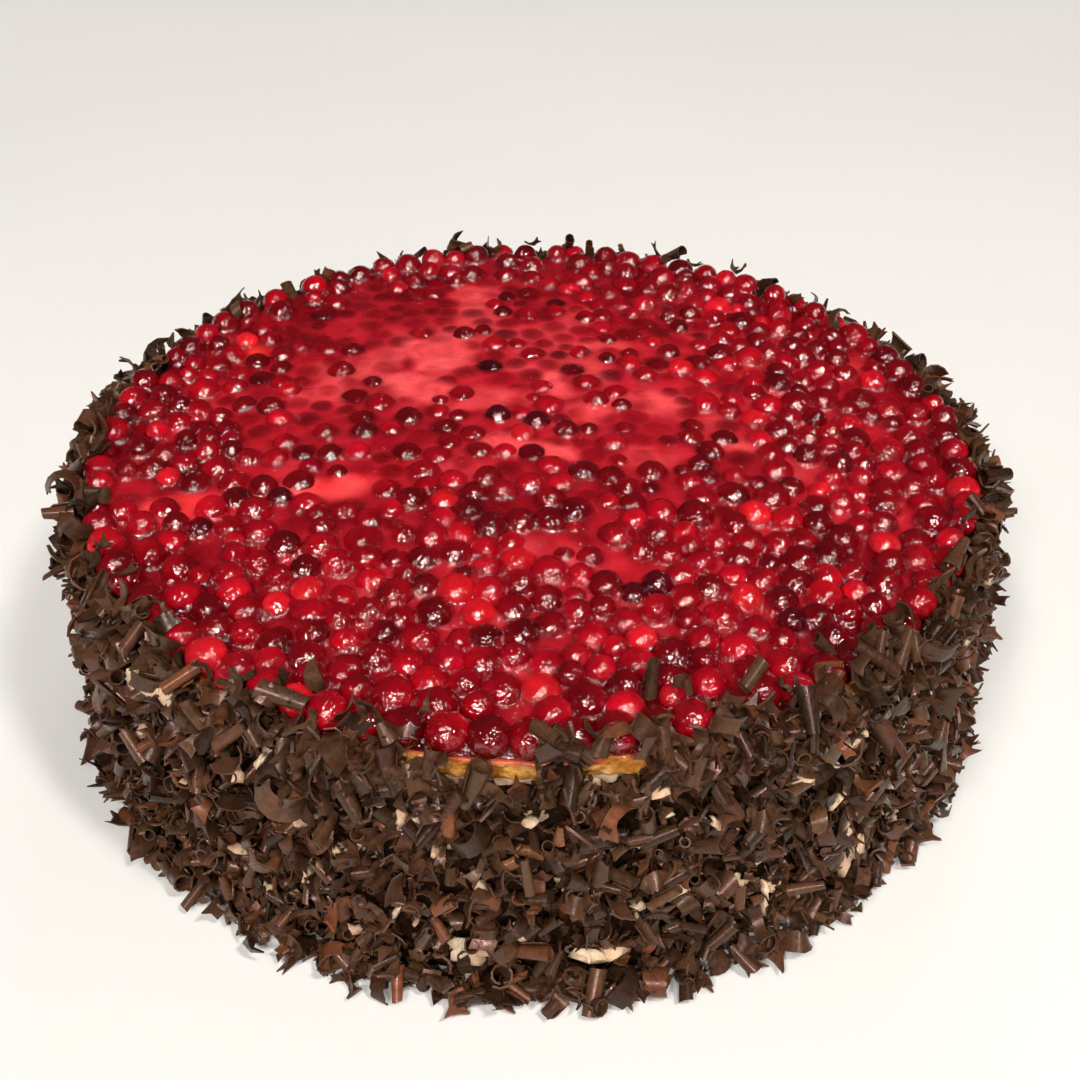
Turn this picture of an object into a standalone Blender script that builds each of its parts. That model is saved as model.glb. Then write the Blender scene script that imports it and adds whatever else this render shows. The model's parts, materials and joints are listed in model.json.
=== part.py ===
"""Round sour cream cake, uncut, with a berry and jelly top and a coat of dark chocolate curls.

Four solids, stacked and nested about the vertical axis, in metres, +Z up:
  cake_body       the cream-covered cake, one turned solid that stands on its flat base
  sponge_layer    the golden top sponge, a disc that runs through the whole cake
  berry_topping   the layer of small round berries set in jelly, out to its uneven top
  chocolate_coat  the ring of chocolate curls round the side, out to its uneven outline

The origin is the centre of the base, on the surface that the cake stands on.
"""

import math

import bmesh
import bpy
import numpy as np
from mathutils import Vector, geometry

# ---------------------------------------------------------------- driving sizes
GAP = 0.0003  # clearance between solids that touch

BODY_RADIUS = 0.1195  # cream-covered body, under the chocolate
BODY_HEIGHT = 0.0640
BODY_EDGE = 0.0030  # rounding of the body's upper edge
BODY_FOOT = 0.0015  # rounding where the cream meets the base

SPONGE_RADIUS = 0.1192
SPONGE_THICKNESS = 0.0059
SPONGE_BULGE = 0.0004  # the cut side of the sponge swells a little between its faces

TOPPING_RADIUS = 0.1186  # edge of the jelly
TOPPING_EDGE = 0.0026  # thickness of the topping at its edge, up to the jelly's brim
JELLY_MIDDLE = 0.0058  # jelly level above the sponge, at the middle
JELLY_RIM = 0.0042  # and near the rim, where it sinks between the berries

BERRY_RADIUS = 0.0040  # usual radius of a berry
BERRY_SPREAD = 0.0007  # how much the radius varies
BERRY_PITCH = 0.0094  # distance between neighbouring berries
BERRY_RISE_MIDDLE = 0.0017  # how far a berry's top stands above the jelly, middle
BERRY_RISE_RIM = 0.0044  # and near the rim

COAT_INNER = BODY_RADIUS + GAP
COAT_OUTER = 0.1276  # mean outline of the chocolate curls, half way up
COAT_LIP = 0.1238  # and near the top, where they lean in to the berries
COAT_TOP = 0.0722  # mean height of the coat's ragged upper edge
COAT_FOOT_OUTER = 0.1316  # curls heaped round the foot
COAT_FOOT_HEIGHT = 0.0080
CURL_RELIEF = 0.0018  # how far the curls make the outline wander
CURL_PITCH = 0.0074  # distance between neighbouring bumps of that outline

TURN_STEPS = 72
SEED = 26


# ---------------------------------------------------------------- helpers
def clear_scene():
    for obj in list(bpy.data.objects):
        bpy.data.objects.remove(obj, do_unlink=True)


def food_material(name, colour, roughness):
    material = bpy.data.materials.new(name)
    material.use_nodes = True
    shader = material.node_tree.nodes["Principled BSDF"]
    shader.inputs["Base Color"].default_value = (*colour, 1.0)
    shader.inputs["Roughness"].default_value = roughness
    shader.inputs["Metallic"].default_value = 0.0
    return material


def new_object(name, mesh, collection, material):
    obj = bpy.data.objects.new(name, mesh)
    collection.objects.link(obj)
    mesh.materials.append(material)
    return obj


def shade(mesh, degrees=35.0):
    mesh.shade_smooth()
    mesh.set_sharp_from_angle(angle=math.radians(degrees))


def corner(centre_r, centre_z, radius, start, end, count):
    """Points (r, z) along an arc of a turned profile, between two angles in degrees."""
    return [
        (
            centre_r + radius * math.cos(math.radians(start + (end - start) * i / count)),
            centre_z + radius * math.sin(math.radians(start + (end - start) * i / count)),
        )
        for i in range(count + 1)
    ]


def turned(name, profile, collection, material, steps=TURN_STEPS):
    """A solid of revolution: the profile runs from the axis at the top, down the outer side, to the axis at the base."""
    mesh = bpy.data.meshes.new(name)
    verts = [(r, 0.0, z) for r, z in profile]
    mesh.from_pydata(verts, [(i, i + 1) for i in range(len(verts) - 1)], [])
    obj = new_object(name, mesh, collection, material)
    screw = obj.modifiers.new("turn", "SCREW")
    screw.axis = "Z"
    screw.angle = math.tau
    screw.steps = steps
    screw.render_steps = steps
    screw.use_merge_vertices = True
    screw.merge_threshold = 0.00001
    screw.use_smooth_shade = True
    return obj


# ---------------------------------------------------------------- berries
def berry_layout(rng):
    """Berry centres (x, y) and radii: a hexagonal packing, jittered and then eased apart so that no two crowd each other."""
    reach = TOPPING_RADIUS - BERRY_RADIUS
    rows = int(reach / (BERRY_PITCH * math.sqrt(3) / 2)) + 1
    columns = int(reach / BERRY_PITCH) + 2
    points = []
    for row in range(-rows, rows + 1):
        for column in range(-columns, columns + 1):
            x = (column + 0.5 * (row % 2)) * BERRY_PITCH
            y = row * BERRY_PITCH * math.sqrt(3) / 2
            x += rng.uniform(-0.30, 0.30) * BERRY_PITCH
            y += rng.uniform(-0.30, 0.30) * BERRY_PITCH
            if math.hypot(x, y) < reach:
                points.append((x, y))
    points = np.array(points)
    radii = np.clip(
        rng.normal(BERRY_RADIUS, BERRY_SPREAD, len(points)),
        BERRY_RADIUS - 1.6 * BERRY_SPREAD,
        BERRY_RADIUS + 1.6 * BERRY_SPREAD,
    )
    for _ in range(12):
        apart = points[:, None] - points[None]
        distance = np.linalg.norm(apart, axis=2) + 1e-9
        wanted = 0.98 * (radii[:, None] + radii[None])
        push = np.clip(wanted - distance, 0, None) * (distance < 0.02)
        np.fill_diagonal(push, 0)
        points = points + 0.25 * (apart / distance[..., None] * push[..., None]).sum(1)
        out = np.linalg.norm(points, axis=1)
        points *= np.minimum(1, reach / np.maximum(out, 1e-9))[:, None]
    return points, radii


def jelly_level(r):
    """Height of the jelly above the sponge at a distance r from the axis."""
    share = min(1.0, r / TOPPING_RADIUS)
    return JELLY_MIDDLE + (JELLY_RIM - JELLY_MIDDLE) * share**3


def berry_rise(r):
    """How far a berry stands out of the jelly at a distance r from the axis."""
    share = min(1.0, r / TOPPING_RADIUS)
    return BERRY_RISE_MIDDLE + (BERRY_RISE_RIM - BERRY_RISE_MIDDLE) * share**2.5


def berry_topping(base, collection, material):
    """The berries in jelly as one solid: a crown of bumps, one for each berry, over a flat underside."""
    rng = np.random.default_rng(SEED)
    points, _ = berry_layout(rng)
    lift = rng.uniform(-0.6, 0.6, len(points))
    rim_count = 108
    rim = [
        (
            TOPPING_RADIUS * math.cos(math.tau * i / rim_count),
            TOPPING_RADIUS * math.sin(math.tau * i / rim_count),
        )
        for i in range(rim_count)
    ]
    inside = [
        (x, y) for x, y in points if math.hypot(x, y) < TOPPING_RADIUS - 0.5 * BERRY_RADIUS
    ]
    flat = [Vector(p) for p in rim + inside]
    edges = [(i, (i + 1) % rim_count) for i in range(rim_count)]
    verts, _, faces, *_ = geometry.delaunay_2d_cdt(flat, edges, [], 1, 1e-6)

    build = bmesh.new()
    made = []
    for i, v in enumerate(verts):
        r = v.length
        z = base + TOPPING_EDGE
        if r < TOPPING_RADIUS - 1e-5:
            z = base + jelly_level(r) + berry_rise(r) * (1 + 0.35 * lift[i % len(lift)])
        made.append(build.verts.new((v.x, v.y, z)))
    for face in faces:
        build.faces.new([made[i] for i in face])
    tops = {(round(v.co.x, 7), round(v.co.y, 7)) for v in build.verts}
    inner_edges = [e for e in build.edges if len(e.link_faces) == 2]
    bmesh.ops.subdivide_edges(build, edges=inner_edges, cuts=1, use_grid_fill=True)
    for v in build.verts:
        if (round(v.co.x, 7), round(v.co.y, 7)) in tops:
            continue
        r = math.hypot(v.co.x, v.co.y)
        saddle = jelly_level(r) + 0.30 * berry_rise(r)
        near_edge = r > TOPPING_RADIUS - 0.7 * BERRY_PITCH
        v.co.z = base + (0.5 * (saddle + TOPPING_EDGE) if near_edge else saddle)

    brim = [e for e in build.edges if e.is_boundary]
    wall = bmesh.ops.extrude_edge_only(build, edges=brim)["geom"]
    for v in (g for g in wall if isinstance(g, bmesh.types.BMVert)):
        v.co.z = base
    bmesh.ops.holes_fill(build, edges=[e for e in build.edges if e.is_boundary], sides=0)
    bmesh.ops.triangulate(build, faces=build.faces[:])
    bmesh.ops.recalc_face_normals(build, faces=build.faces[:])
    mesh = bpy.data.meshes.new("berry_topping")
    build.to_mesh(mesh)
    build.free()
    return new_object("berry_topping", mesh, collection, material)


# ---------------------------------------------------------------- chocolate
def coat_outline(z):
    """Mean outer radius of the curls at a height z: fullest half way up, leaning in to the berries at the top."""
    middle = 0.5 * COAT_TOP
    if z < middle:
        return COAT_OUTER - 0.0008 * (1 - z / middle) ** 2
    share = (z - middle) / (COAT_TOP - middle)
    return COAT_OUTER + (COAT_LIP - COAT_OUTER) * share**2.2


def coat_profile():
    """The coat's cross-section (r, z), once round: up the outer side, over the ragged top and down the inner side."""
    rows = max(4, round((COAT_TOP - COAT_FOOT_HEIGHT) / CURL_PITCH))
    outer = [(COAT_FOOT_OUTER, 0.0), (COAT_FOOT_OUTER - 0.0010, 0.45 * COAT_FOOT_HEIGHT)]
    for i in range(rows):
        z = COAT_FOOT_HEIGHT + (COAT_TOP - COAT_FOOT_HEIGHT - 0.0025) * i / (rows - 1)
        outer.append((coat_outline(z), z))
    top = [(0.5 * (COAT_LIP + COAT_INNER), COAT_TOP)]
    inner = [(COAT_INNER, COAT_TOP - 0.0030), (COAT_INNER, 0.0)]
    foot = [(0.5 * (COAT_INNER + COAT_FOOT_OUTER), 0.0)]
    return outer + top + inner + foot


def chocolate_coat(collection, material):
    """The curls as one ring: the profile is spun round the axis, and the spun outline then wanders as the curls do."""
    rng = np.random.default_rng(SEED + 1)
    steps = int(math.tau * COAT_OUTER / CURL_PITCH / 4) * 4
    profile = coat_profile()
    build = bmesh.new()
    ring = [build.verts.new((r, 0.0, z)) for r, z in profile]
    for i in range(len(ring)):
        build.edges.new((ring[i], ring[(i + 1) % len(ring)]))
    bmesh.ops.spin(
        build,
        geom=build.verts[:] + build.edges[:],
        axis=(0, 0, 1),
        cent=(0, 0, 0),
        dvec=(0, 0, 0),
        angle=math.tau,
        steps=steps,
        use_merge=True,
    )
    bmesh.ops.remove_doubles(build, verts=build.verts[:], dist=1e-6)
    half = 0.5 * math.tau / steps
    for v in build.verts:
        r, angle, z = math.hypot(v.co.x, v.co.y), math.atan2(v.co.y, v.co.x), v.co.z
        out, turn, up = rng.uniform(-1, 1, 3)
        if r < COAT_INNER + 0.0005:
            continue
        shown = min(1.0, (r - COAT_INNER) / (COAT_OUTER - COAT_INNER))
        on_floor = z < 1e-6
        r += CURL_RELIEF * out * shown
        if not on_floor:
            angle += 0.60 * half * turn
            z += 0.0018 * up
        v.co = (r * math.cos(angle), r * math.sin(angle), z)
    reach = max(max(abs(v.co.x), abs(v.co.y)) for v in build.verts)
    for axis in (Vector((1, 0, 0)), Vector((-1, 0, 0)), Vector((0, 1, 0)), Vector((0, -1, 0))):
        tip = max(build.verts, key=lambda v, a=axis: v.co.dot(a))
        tip.co += axis * (reach - tip.co.dot(axis))
    bmesh.ops.triangulate(build, faces=build.faces[:])
    bmesh.ops.recalc_face_normals(build, faces=build.faces[:])
    mesh = bpy.data.meshes.new("chocolate_coat")
    build.to_mesh(mesh)
    build.free()
    return new_object("chocolate_coat", mesh, collection, material)


# ---------------------------------------------------------------- the cake
def main():
    clear_scene()
    cake = bpy.data.collections.new("sour_cream_cake")
    bpy.context.scene.collection.children.link(cake)

    cream = food_material("cream", (0.90, 0.80, 0.62), 0.45)
    sponge = food_material("sponge", (0.72, 0.42, 0.14), 0.70)
    berries = food_material("berries", (0.42, 0.010, 0.020), 0.15)
    chocolate = food_material("chocolate", (0.055, 0.026, 0.016), 0.45)

    body = [(0.0, BODY_HEIGHT)]
    body += corner(BODY_RADIUS - BODY_EDGE, BODY_HEIGHT - BODY_EDGE, BODY_EDGE, 90, 0, 3)
    body += [(BODY_RADIUS, 0.5 * BODY_HEIGHT)]
    body += corner(BODY_RADIUS - BODY_FOOT, BODY_FOOT, BODY_FOOT, 0, -90, 2)
    body += [(0.0, 0.0)]
    turned("cake_body", body, cake, cream)

    low = BODY_HEIGHT + GAP
    high = low + SPONGE_THICKNESS
    disc = [
        (0.0, high),
        (SPONGE_RADIUS - 0.0012, high),
        (SPONGE_RADIUS, high - 0.0012),
        (SPONGE_RADIUS + SPONGE_BULGE * 0.6, 0.5 * (low + high)),
        (SPONGE_RADIUS, low + 0.0012),
        (SPONGE_RADIUS - 0.0012, low),
        (0.0, low),
    ]
    turned("sponge_layer", disc, cake, sponge)

    shade(berry_topping(high + GAP, cake, berries).data, 40)
    shade(chocolate_coat(cake, chocolate).data, 25)


main()
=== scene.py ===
"""Looks of the sour cream cake: berries in milky red jelly, golden sponge, cream, and a side of dark chocolate curls."""

import json
import math

import bpy
import numpy as np
from mathutils import Matrix, Vector, geometry

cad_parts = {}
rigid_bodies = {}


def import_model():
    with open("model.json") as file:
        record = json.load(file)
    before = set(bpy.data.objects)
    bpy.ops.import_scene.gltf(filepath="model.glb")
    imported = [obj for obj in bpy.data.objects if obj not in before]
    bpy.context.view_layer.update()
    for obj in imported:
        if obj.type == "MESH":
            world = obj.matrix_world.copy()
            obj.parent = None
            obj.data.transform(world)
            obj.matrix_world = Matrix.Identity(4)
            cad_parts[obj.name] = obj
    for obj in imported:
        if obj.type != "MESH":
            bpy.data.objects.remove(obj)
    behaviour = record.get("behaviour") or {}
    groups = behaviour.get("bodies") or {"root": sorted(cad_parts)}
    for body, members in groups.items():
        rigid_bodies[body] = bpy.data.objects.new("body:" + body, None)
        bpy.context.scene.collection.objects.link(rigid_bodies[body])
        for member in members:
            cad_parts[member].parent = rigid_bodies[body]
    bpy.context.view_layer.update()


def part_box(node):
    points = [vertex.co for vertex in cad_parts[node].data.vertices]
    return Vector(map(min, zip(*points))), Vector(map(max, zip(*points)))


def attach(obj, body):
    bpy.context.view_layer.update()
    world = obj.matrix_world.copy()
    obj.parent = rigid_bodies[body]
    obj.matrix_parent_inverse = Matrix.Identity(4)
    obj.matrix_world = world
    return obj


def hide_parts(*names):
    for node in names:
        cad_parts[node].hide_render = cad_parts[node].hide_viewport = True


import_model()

TAU = 2 * math.pi
SEED = 26

# ------------------------------------------------------------------ places that the CAD solids give
body_low, body_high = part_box("cake_body")
sponge_low, sponge_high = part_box("sponge_layer")
top_low, top_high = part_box("berry_topping")
coat_low, coat_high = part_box("chocolate_coat")
BODY_R = body_high.x  # 0.1195
BODY_Z = body_high.z  # 0.0640
SPONGE_R = sponge_high.x
SPONGE_Z0, SPONGE_Z1 = sponge_low.z, sponge_high.z
TOP_R = top_high.x  # 0.1186
TOP_Z0, TOP_Z1 = top_low.z, top_high.z
COAT_TOP = 0.0722
JELLY_MIDDLE, JELLY_RIM = TOP_Z0 + 0.0051, TOP_Z0 + 0.0026


# ------------------------------------------------------------------ camera
def photo_camera():
    """The photograph's view: from the front, 37.7 degrees above the horizon, close to the cake."""
    unit, distance, tilt = 0.128, 3.01446, math.radians(37.6927)
    yaw, pitch, roll = math.radians(0.3943), math.radians(0.6790), math.radians(-0.0730)
    forward = Vector((0, math.cos(tilt), -math.sin(tilt)))
    right = Vector((1, 0, 0))
    up = right.cross(forward)
    x, y, z = right.copy(), up.copy(), forward.copy()
    x, z = math.cos(yaw) * x - math.sin(yaw) * z, math.sin(yaw) * x + math.cos(yaw) * z
    y, z = math.cos(pitch) * y - math.sin(pitch) * z, math.sin(pitch) * y + math.cos(pitch) * z
    x, y = math.cos(roll) * x - math.sin(roll) * y, math.sin(roll) * x + math.cos(roll) * y
    data = bpy.data.cameras.new("camera")
    data.sensor_width = 36.0
    data.lens = 1300.0 / 1080.0 * 36.0
    data.clip_start = 0.01
    camera = bpy.data.objects.new("camera", data)
    bpy.context.scene.collection.objects.link(camera)
    turn = Matrix((x, y, -z)).transposed()
    place = Vector((0, -distance * math.cos(tilt), distance * math.sin(tilt) + 0.25)) * unit
    camera.matrix_world = Matrix.Translation(place) @ turn.to_4x4()
    bpy.context.scene.camera = camera
    return camera


# ------------------------------------------------------------------ noise and mesh helpers
def lattice(ix, iy, iz, seed):
    h = (ix * 374761393 + iy * 668265263 + iz * 2147483647 + seed * 1274126177) & 0xFFFFFFFF
    h = ((h ^ (h >> 13)) * 1274126177) & 0xFFFFFFFF
    h = (h ^ (h >> 16)) & 0xFFFFFFFF
    return h.astype(np.float64) / 0xFFFFFFFF * 2 - 1


def noise3(p, size, seed=0):
    """Smooth value noise in -1..1, with lumps about size across."""
    q = np.asarray(p, float) / size
    i = np.floor(q).astype(np.int64)
    f = q - i
    f = f * f * f * (f * (f * 6 - 15) + 10)
    out = 0
    for a in (0, 1):
        for b in (0, 1):
            for c in (0, 1):
                w = (
                    (f[..., 0] if a else 1 - f[..., 0])
                    * (f[..., 1] if b else 1 - f[..., 1])
                    * (f[..., 2] if c else 1 - f[..., 2])
                )
                out = out + w * lattice(i[..., 0] + a, i[..., 1] + b, i[..., 2] + c, seed)
    return out


def fractal(p, size, seed=0, octaves=3):
    out, weight, total = 0, 1.0, 0.0
    for k in range(octaves):
        out = out + weight * noise3(p, size / 2**k, seed + 17 * k)
        total += weight
        weight *= 0.5
    return out / total


def smooth(x, low, high):
    t = np.clip((np.asarray(x, float) - low) / (high - low), 0, 1)
    return t * t * (3 - 2 * t)


def make_mesh(name, verts, faces, colours=None, vectors=None, smooth_shade=True):
    """An object from arrays. faces is a list of index arrays, one for each number of corners."""
    verts = np.asarray(verts, np.float32)
    mesh = bpy.data.meshes.new(name)
    faces = [np.asarray(f, np.int32) for f in faces if len(f)]
    loops = np.concatenate([f.ravel() for f in faces])
    counts = np.concatenate([np.full(len(f), f.shape[1], np.int32) for f in faces])
    starts = np.concatenate([[0], np.cumsum(counts)[:-1]]).astype(np.int32)
    mesh.vertices.add(len(verts))
    mesh.vertices.foreach_set("co", verts.ravel())
    mesh.loops.add(len(loops))
    mesh.loops.foreach_set("vertex_index", loops)
    mesh.polygons.add(len(counts))
    mesh.polygons.foreach_set("loop_start", starts)
    mesh.update(calc_edges=True)
    if colours is not None:
        layer = mesh.color_attributes.new("tint", "FLOAT_COLOR", "POINT")
        rgba = np.ones((len(verts), 4), np.float32)
        rgba[:, :3] = colours
        layer.data.foreach_set("color", rgba.ravel())
    if vectors is not None:
        layer = mesh.attributes.new("grain", "FLOAT_VECTOR", "POINT")
        layer.data.foreach_set("vector", np.asarray(vectors, np.float32).ravel())
    if smooth_shade:
        mesh.shade_smooth()
    obj = bpy.data.objects.new(name, mesh)
    bpy.context.scene.collection.objects.link(obj)
    return obj


def random_turns(rng, n):
    """n random rotation matrices."""
    q = rng.normal(size=(n, 4))
    q /= np.linalg.norm(q, axis=1)[:, None]
    w, x, y, z = q.T
    return np.stack(
        [
            np.stack([1 - 2 * (y * y + z * z), 2 * (x * y - w * z), 2 * (x * z + w * y)], -1),
            np.stack([2 * (x * y + w * z), 1 - 2 * (x * x + z * z), 2 * (y * z - w * x)], -1),
            np.stack([2 * (x * z - w * y), 2 * (y * z + w * x), 1 - 2 * (x * x + y * y)], -1),
        ],
        1,
    )


# ------------------------------------------------------------------ material helpers
class Nodes:
    def __init__(self, name):
        self.material = bpy.data.materials.new(name)
        self.material.use_nodes = True
        self.tree = self.material.node_tree
        self.shader = self.tree.nodes["Principled BSDF"]

    def add(self, kind, **settings):
        node = self.tree.nodes.new(kind)
        for key, value in settings.items():
            setattr(node, key, value)
        return node

    def link(self, a, b):
        self.tree.links.new(a, b)

    def set(self, **values):
        for key, value in values.items():
            self.shader.inputs[key.replace("_", " ")].default_value = value

    def position(self):
        return self.add("ShaderNodeTexCoord").outputs["Object"]

    def noise(self, vector, scale, detail=3.0, roughness=0.55, distortion=0.0):
        node = self.add("ShaderNodeTexNoise")
        node.inputs["Scale"].default_value = scale
        node.inputs["Detail"].default_value = detail
        node.inputs["Roughness"].default_value = roughness
        node.inputs["Distortion"].default_value = distortion
        self.link(vector, node.inputs["Vector"])
        return node.outputs["Fac"]

    def math(self, operation, a, b=None):
        node = self.add("ShaderNodeMath", operation=operation)
        for socket, value in zip(node.inputs, (a, b)):
            if value is None:
                continue
            if isinstance(value, (int, float)):
                socket.default_value = value
            else:
                self.link(value, socket)
        return node.outputs[0]

    def ramp(self, fac, stops, interpolation="LINEAR"):
        node = self.add("ShaderNodeValToRGB")
        node.color_ramp.interpolation = interpolation
        items = node.color_ramp.elements
        while len(items) < len(stops):
            items.new(0.5)
        for item, (place, colour) in zip(items, stops):
            item.position = place
            item.color = (*colour, 1.0) if len(colour) == 3 else colour
        self.link(fac, node.inputs["Fac"])
        return node.outputs["Color"]

    def mix(self, fac, a, b, blend="MIX"):
        node = self.add("ShaderNodeMix", data_type="RGBA", blend_type=blend)
        for socket, value in ((node.inputs[0], fac), (node.inputs[6], a), (node.inputs[7], b)):
            if isinstance(value, (int, float)):
                socket.default_value = value
            elif isinstance(value, tuple):
                socket.default_value = (*value, 1.0)
            else:
                self.link(value, socket)
        return node.outputs[2]

    def attribute(self, name):
        return self.add("ShaderNodeAttribute", attribute_name=name)

    def bump(self, height, strength, distance, normal=None):
        node = self.add("ShaderNodeBump")
        node.inputs["Strength"].default_value = strength
        node.inputs["Distance"].default_value = distance
        self.link(height, node.inputs["Height"])
        if normal is not None:
            self.link(normal, node.inputs["Normal"])
        return node.outputs["Normal"]


def berry_material(name, glow):
    m = Nodes(name)
    p = m.position()
    tint = m.attribute("tint").outputs["Color"]
    blotch = m.ramp(m.noise(p, 300, 3), [(0.30, (0.72, 0.66, 0.66)), (0.70, (1.22, 1.22, 1.22))])
    colour = m.mix(1.0, tint, blotch, "MULTIPLY")
    m.link(colour, m.shader.inputs["Base Color"])
    m.set(Roughness=0.50, Subsurface_Weight=glow, Subsurface_Scale=1.0, IOR=1.33, Specular_IOR_Level=0.0)
    m.shader.inputs["Subsurface Radius"].default_value = (0.0030, 0.0003, 0.0002)
    m.set(Coat_Weight=1.0, Coat_Roughness=0.03, Coat_IOR=1.75)
    # wrinkles of the drying jelly film break the highlights up
    fine = m.noise(p, 620, 2.0, 0.52, 0.6)
    m.link(m.bump(fine, 1.0, 0.00060), m.shader.inputs["Coat Normal"])
    m.link(m.bump(fine, 0.35, 0.00060), m.shader.inputs["Normal"])
    return m.material


def jelly_material():
    m = Nodes("jelly")
    p = m.position()
    tint = m.attribute("tint").outputs["Color"]
    cloud = m.ramp(m.noise(p, 120, 4, 0.55, 0.5), [(0.32, (0.80, 0.60, 0.62)), (0.68, (1.16, 1.36, 1.34))])
    m.link(m.mix(1.0, tint, cloud, "MULTIPLY"), m.shader.inputs["Base Color"])
    m.set(Roughness=0.50, Subsurface_Weight=0.55, Subsurface_Scale=1.0, IOR=1.33, Specular_IOR_Level=0.0)
    m.shader.inputs["Subsurface Radius"].default_value = (0.0030, 0.0006, 0.0005)
    m.set(Coat_Weight=1.0, Coat_Roughness=0.04, Coat_IOR=1.7)
    broad = m.noise(p, 230, 1.5, 0.5)
    fine = m.noise(p, 850, 2.0, 0.6, 0.6)
    film = m.bump(fine, 0.9, 0.00060, m.bump(broad, 0.8, 0.0013))
    m.link(film, m.shader.inputs["Coat Normal"])
    m.link(m.bump(fine, 0.25, 0.00060), m.shader.inputs["Normal"])
    return m.material


def chocolate_material(name):
    m = Nodes(name)
    tint = m.attribute("tint").outputs["Color"]
    grain = m.attribute("grain").outputs["Vector"]
    p = m.position()
    streak = m.add("ShaderNodeMapping")
    streak.inputs["Scale"].default_value = (1.0, 0.12, 1.0)
    m.link(grain, streak.inputs["Vector"])
    lines = m.noise(streak.outputs["Vector"], 4200, 3, 0.65)
    mottle = m.noise(p, 520, 4, 0.6)
    shade = m.ramp(mottle, [(0.30, (0.72, 0.70, 0.68)), (0.72, (1.22, 1.20, 1.18))])
    scuff = m.ramp(lines, [(0.35, (0.82, 0.82, 0.82)), (0.68, (1.18, 1.18, 1.18))])
    colour = m.mix(1.0, m.mix(1.0, tint, shade, "MULTIPLY"), scuff, "MULTIPLY")
    m.link(colour, m.shader.inputs["Base Color"])
    rough = m.ramp(m.noise(p, 900, 3, 0.6), [(0.33, (0.12,) * 3), (0.50, (0.34,) * 3), (0.72, (0.52,) * 3)])
    m.link(rough, m.shader.inputs["Roughness"])
    m.set(IOR=1.50, Specular_IOR_Level=0.27)
    m.shader.inputs["Specular Tint"].default_value = (0.94, 0.98, 0.94, 1.0)
    height = m.math("ADD", m.math("MULTIPLY", lines, 0.6), m.math("MULTIPLY", m.noise(p, 1500, 3), 0.6))
    m.link(m.bump(height, 0.45, 0.00014), m.shader.inputs["Normal"])
    return m.material


def crumb_and_shade_material():
    m = Nodes("chocolate_crumb")
    p = m.position()
    # partly crumb colour, partly painted shade: darker than the curls, so the gaps between them read as shadow
    colour = m.ramp(m.noise(p, 700, 5, 0.7), [(0.30, (0.006, 0.0027, 0.0015)), (0.75, (0.046, 0.0210, 0.0108))])
    m.link(colour, m.shader.inputs["Base Color"])
    m.set(Roughness=0.8, Specular_IOR_Level=0.03)
    m.link(m.bump(m.noise(p, 800, 5, 0.7), 1.0, 0.0012), m.shader.inputs["Normal"])
    return m.material


def cream_material():
    m = Nodes("cream")
    p = m.position()
    colour = m.ramp(
        m.noise(p, 160, 4, 0.6),
        [(0.25, (0.50, 0.25, 0.165)), (0.48, (0.60, 0.41, 0.275)), (0.75, (0.70, 0.57, 0.400))],
    )
    m.link(colour, m.shader.inputs["Base Color"])
    m.set(Roughness=0.50, Subsurface_Weight=0.35, Subsurface_Scale=1.0, IOR=1.42, Specular_IOR_Level=0.10)
    m.shader.inputs["Subsurface Radius"].default_value = (0.0020, 0.0013, 0.0008)
    m.link(m.bump(m.noise(p, 380, 4, 0.6), 0.8, 0.0009), m.shader.inputs["Normal"])
    return m.material


def sponge_material():
    m = Nodes("sponge")
    p = m.position()
    tint = m.attribute("tint").outputs["Color"]
    pores = m.add("ShaderNodeTexVoronoi", feature="F1")
    pores.inputs["Scale"].default_value = 900
    m.link(p, pores.inputs["Vector"])
    # painted shade: the pores, dented by the bump below, are painted darker
    pore_shade = m.ramp(pores.outputs["Distance"], [(0.05, (0.74, 0.62, 0.50)), (0.40, (1.04, 1.04, 1.04))])
    soaked = m.ramp(m.noise(p, 210, 4, 0.6, 0.6), [(0.36, (0.62, 0.40, 0.20)), (0.64, (1.06, 1.08, 1.10))])
    m.link(m.mix(1.0, m.mix(1.0, tint, pore_shade, "MULTIPLY"), soaked, "MULTIPLY"), m.shader.inputs["Base Color"])
    m.set(Roughness=0.42, Subsurface_Weight=0.30, Subsurface_Scale=1.0)
    m.shader.inputs["Subsurface Radius"].default_value = (0.0022, 0.0010, 0.0004)
    m.set(Specular_IOR_Level=0.2, Coat_Weight=0.25, Coat_Roughness=0.14)
    height = m.math("ADD", pores.outputs["Distance"], m.math("MULTIPLY", m.noise(p, 500, 4), 0.8))
    m.link(m.bump(height, 0.5, 0.0006), m.shader.inputs["Normal"])
    return m.material


def stalk_material():
    m = Nodes("stalk")
    p = m.position()
    colour = m.ramp(m.noise(p, 1600, 3), [(0.3, (0.008, 0.003, 0.002)), (0.75, (0.055, 0.022, 0.012))])
    m.link(colour, m.shader.inputs["Base Color"])
    m.set(Roughness=0.55)
    m.link(m.bump(m.noise(p, 2400, 3), 0.5, 0.0002), m.shader.inputs["Normal"])
    return m.material


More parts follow.
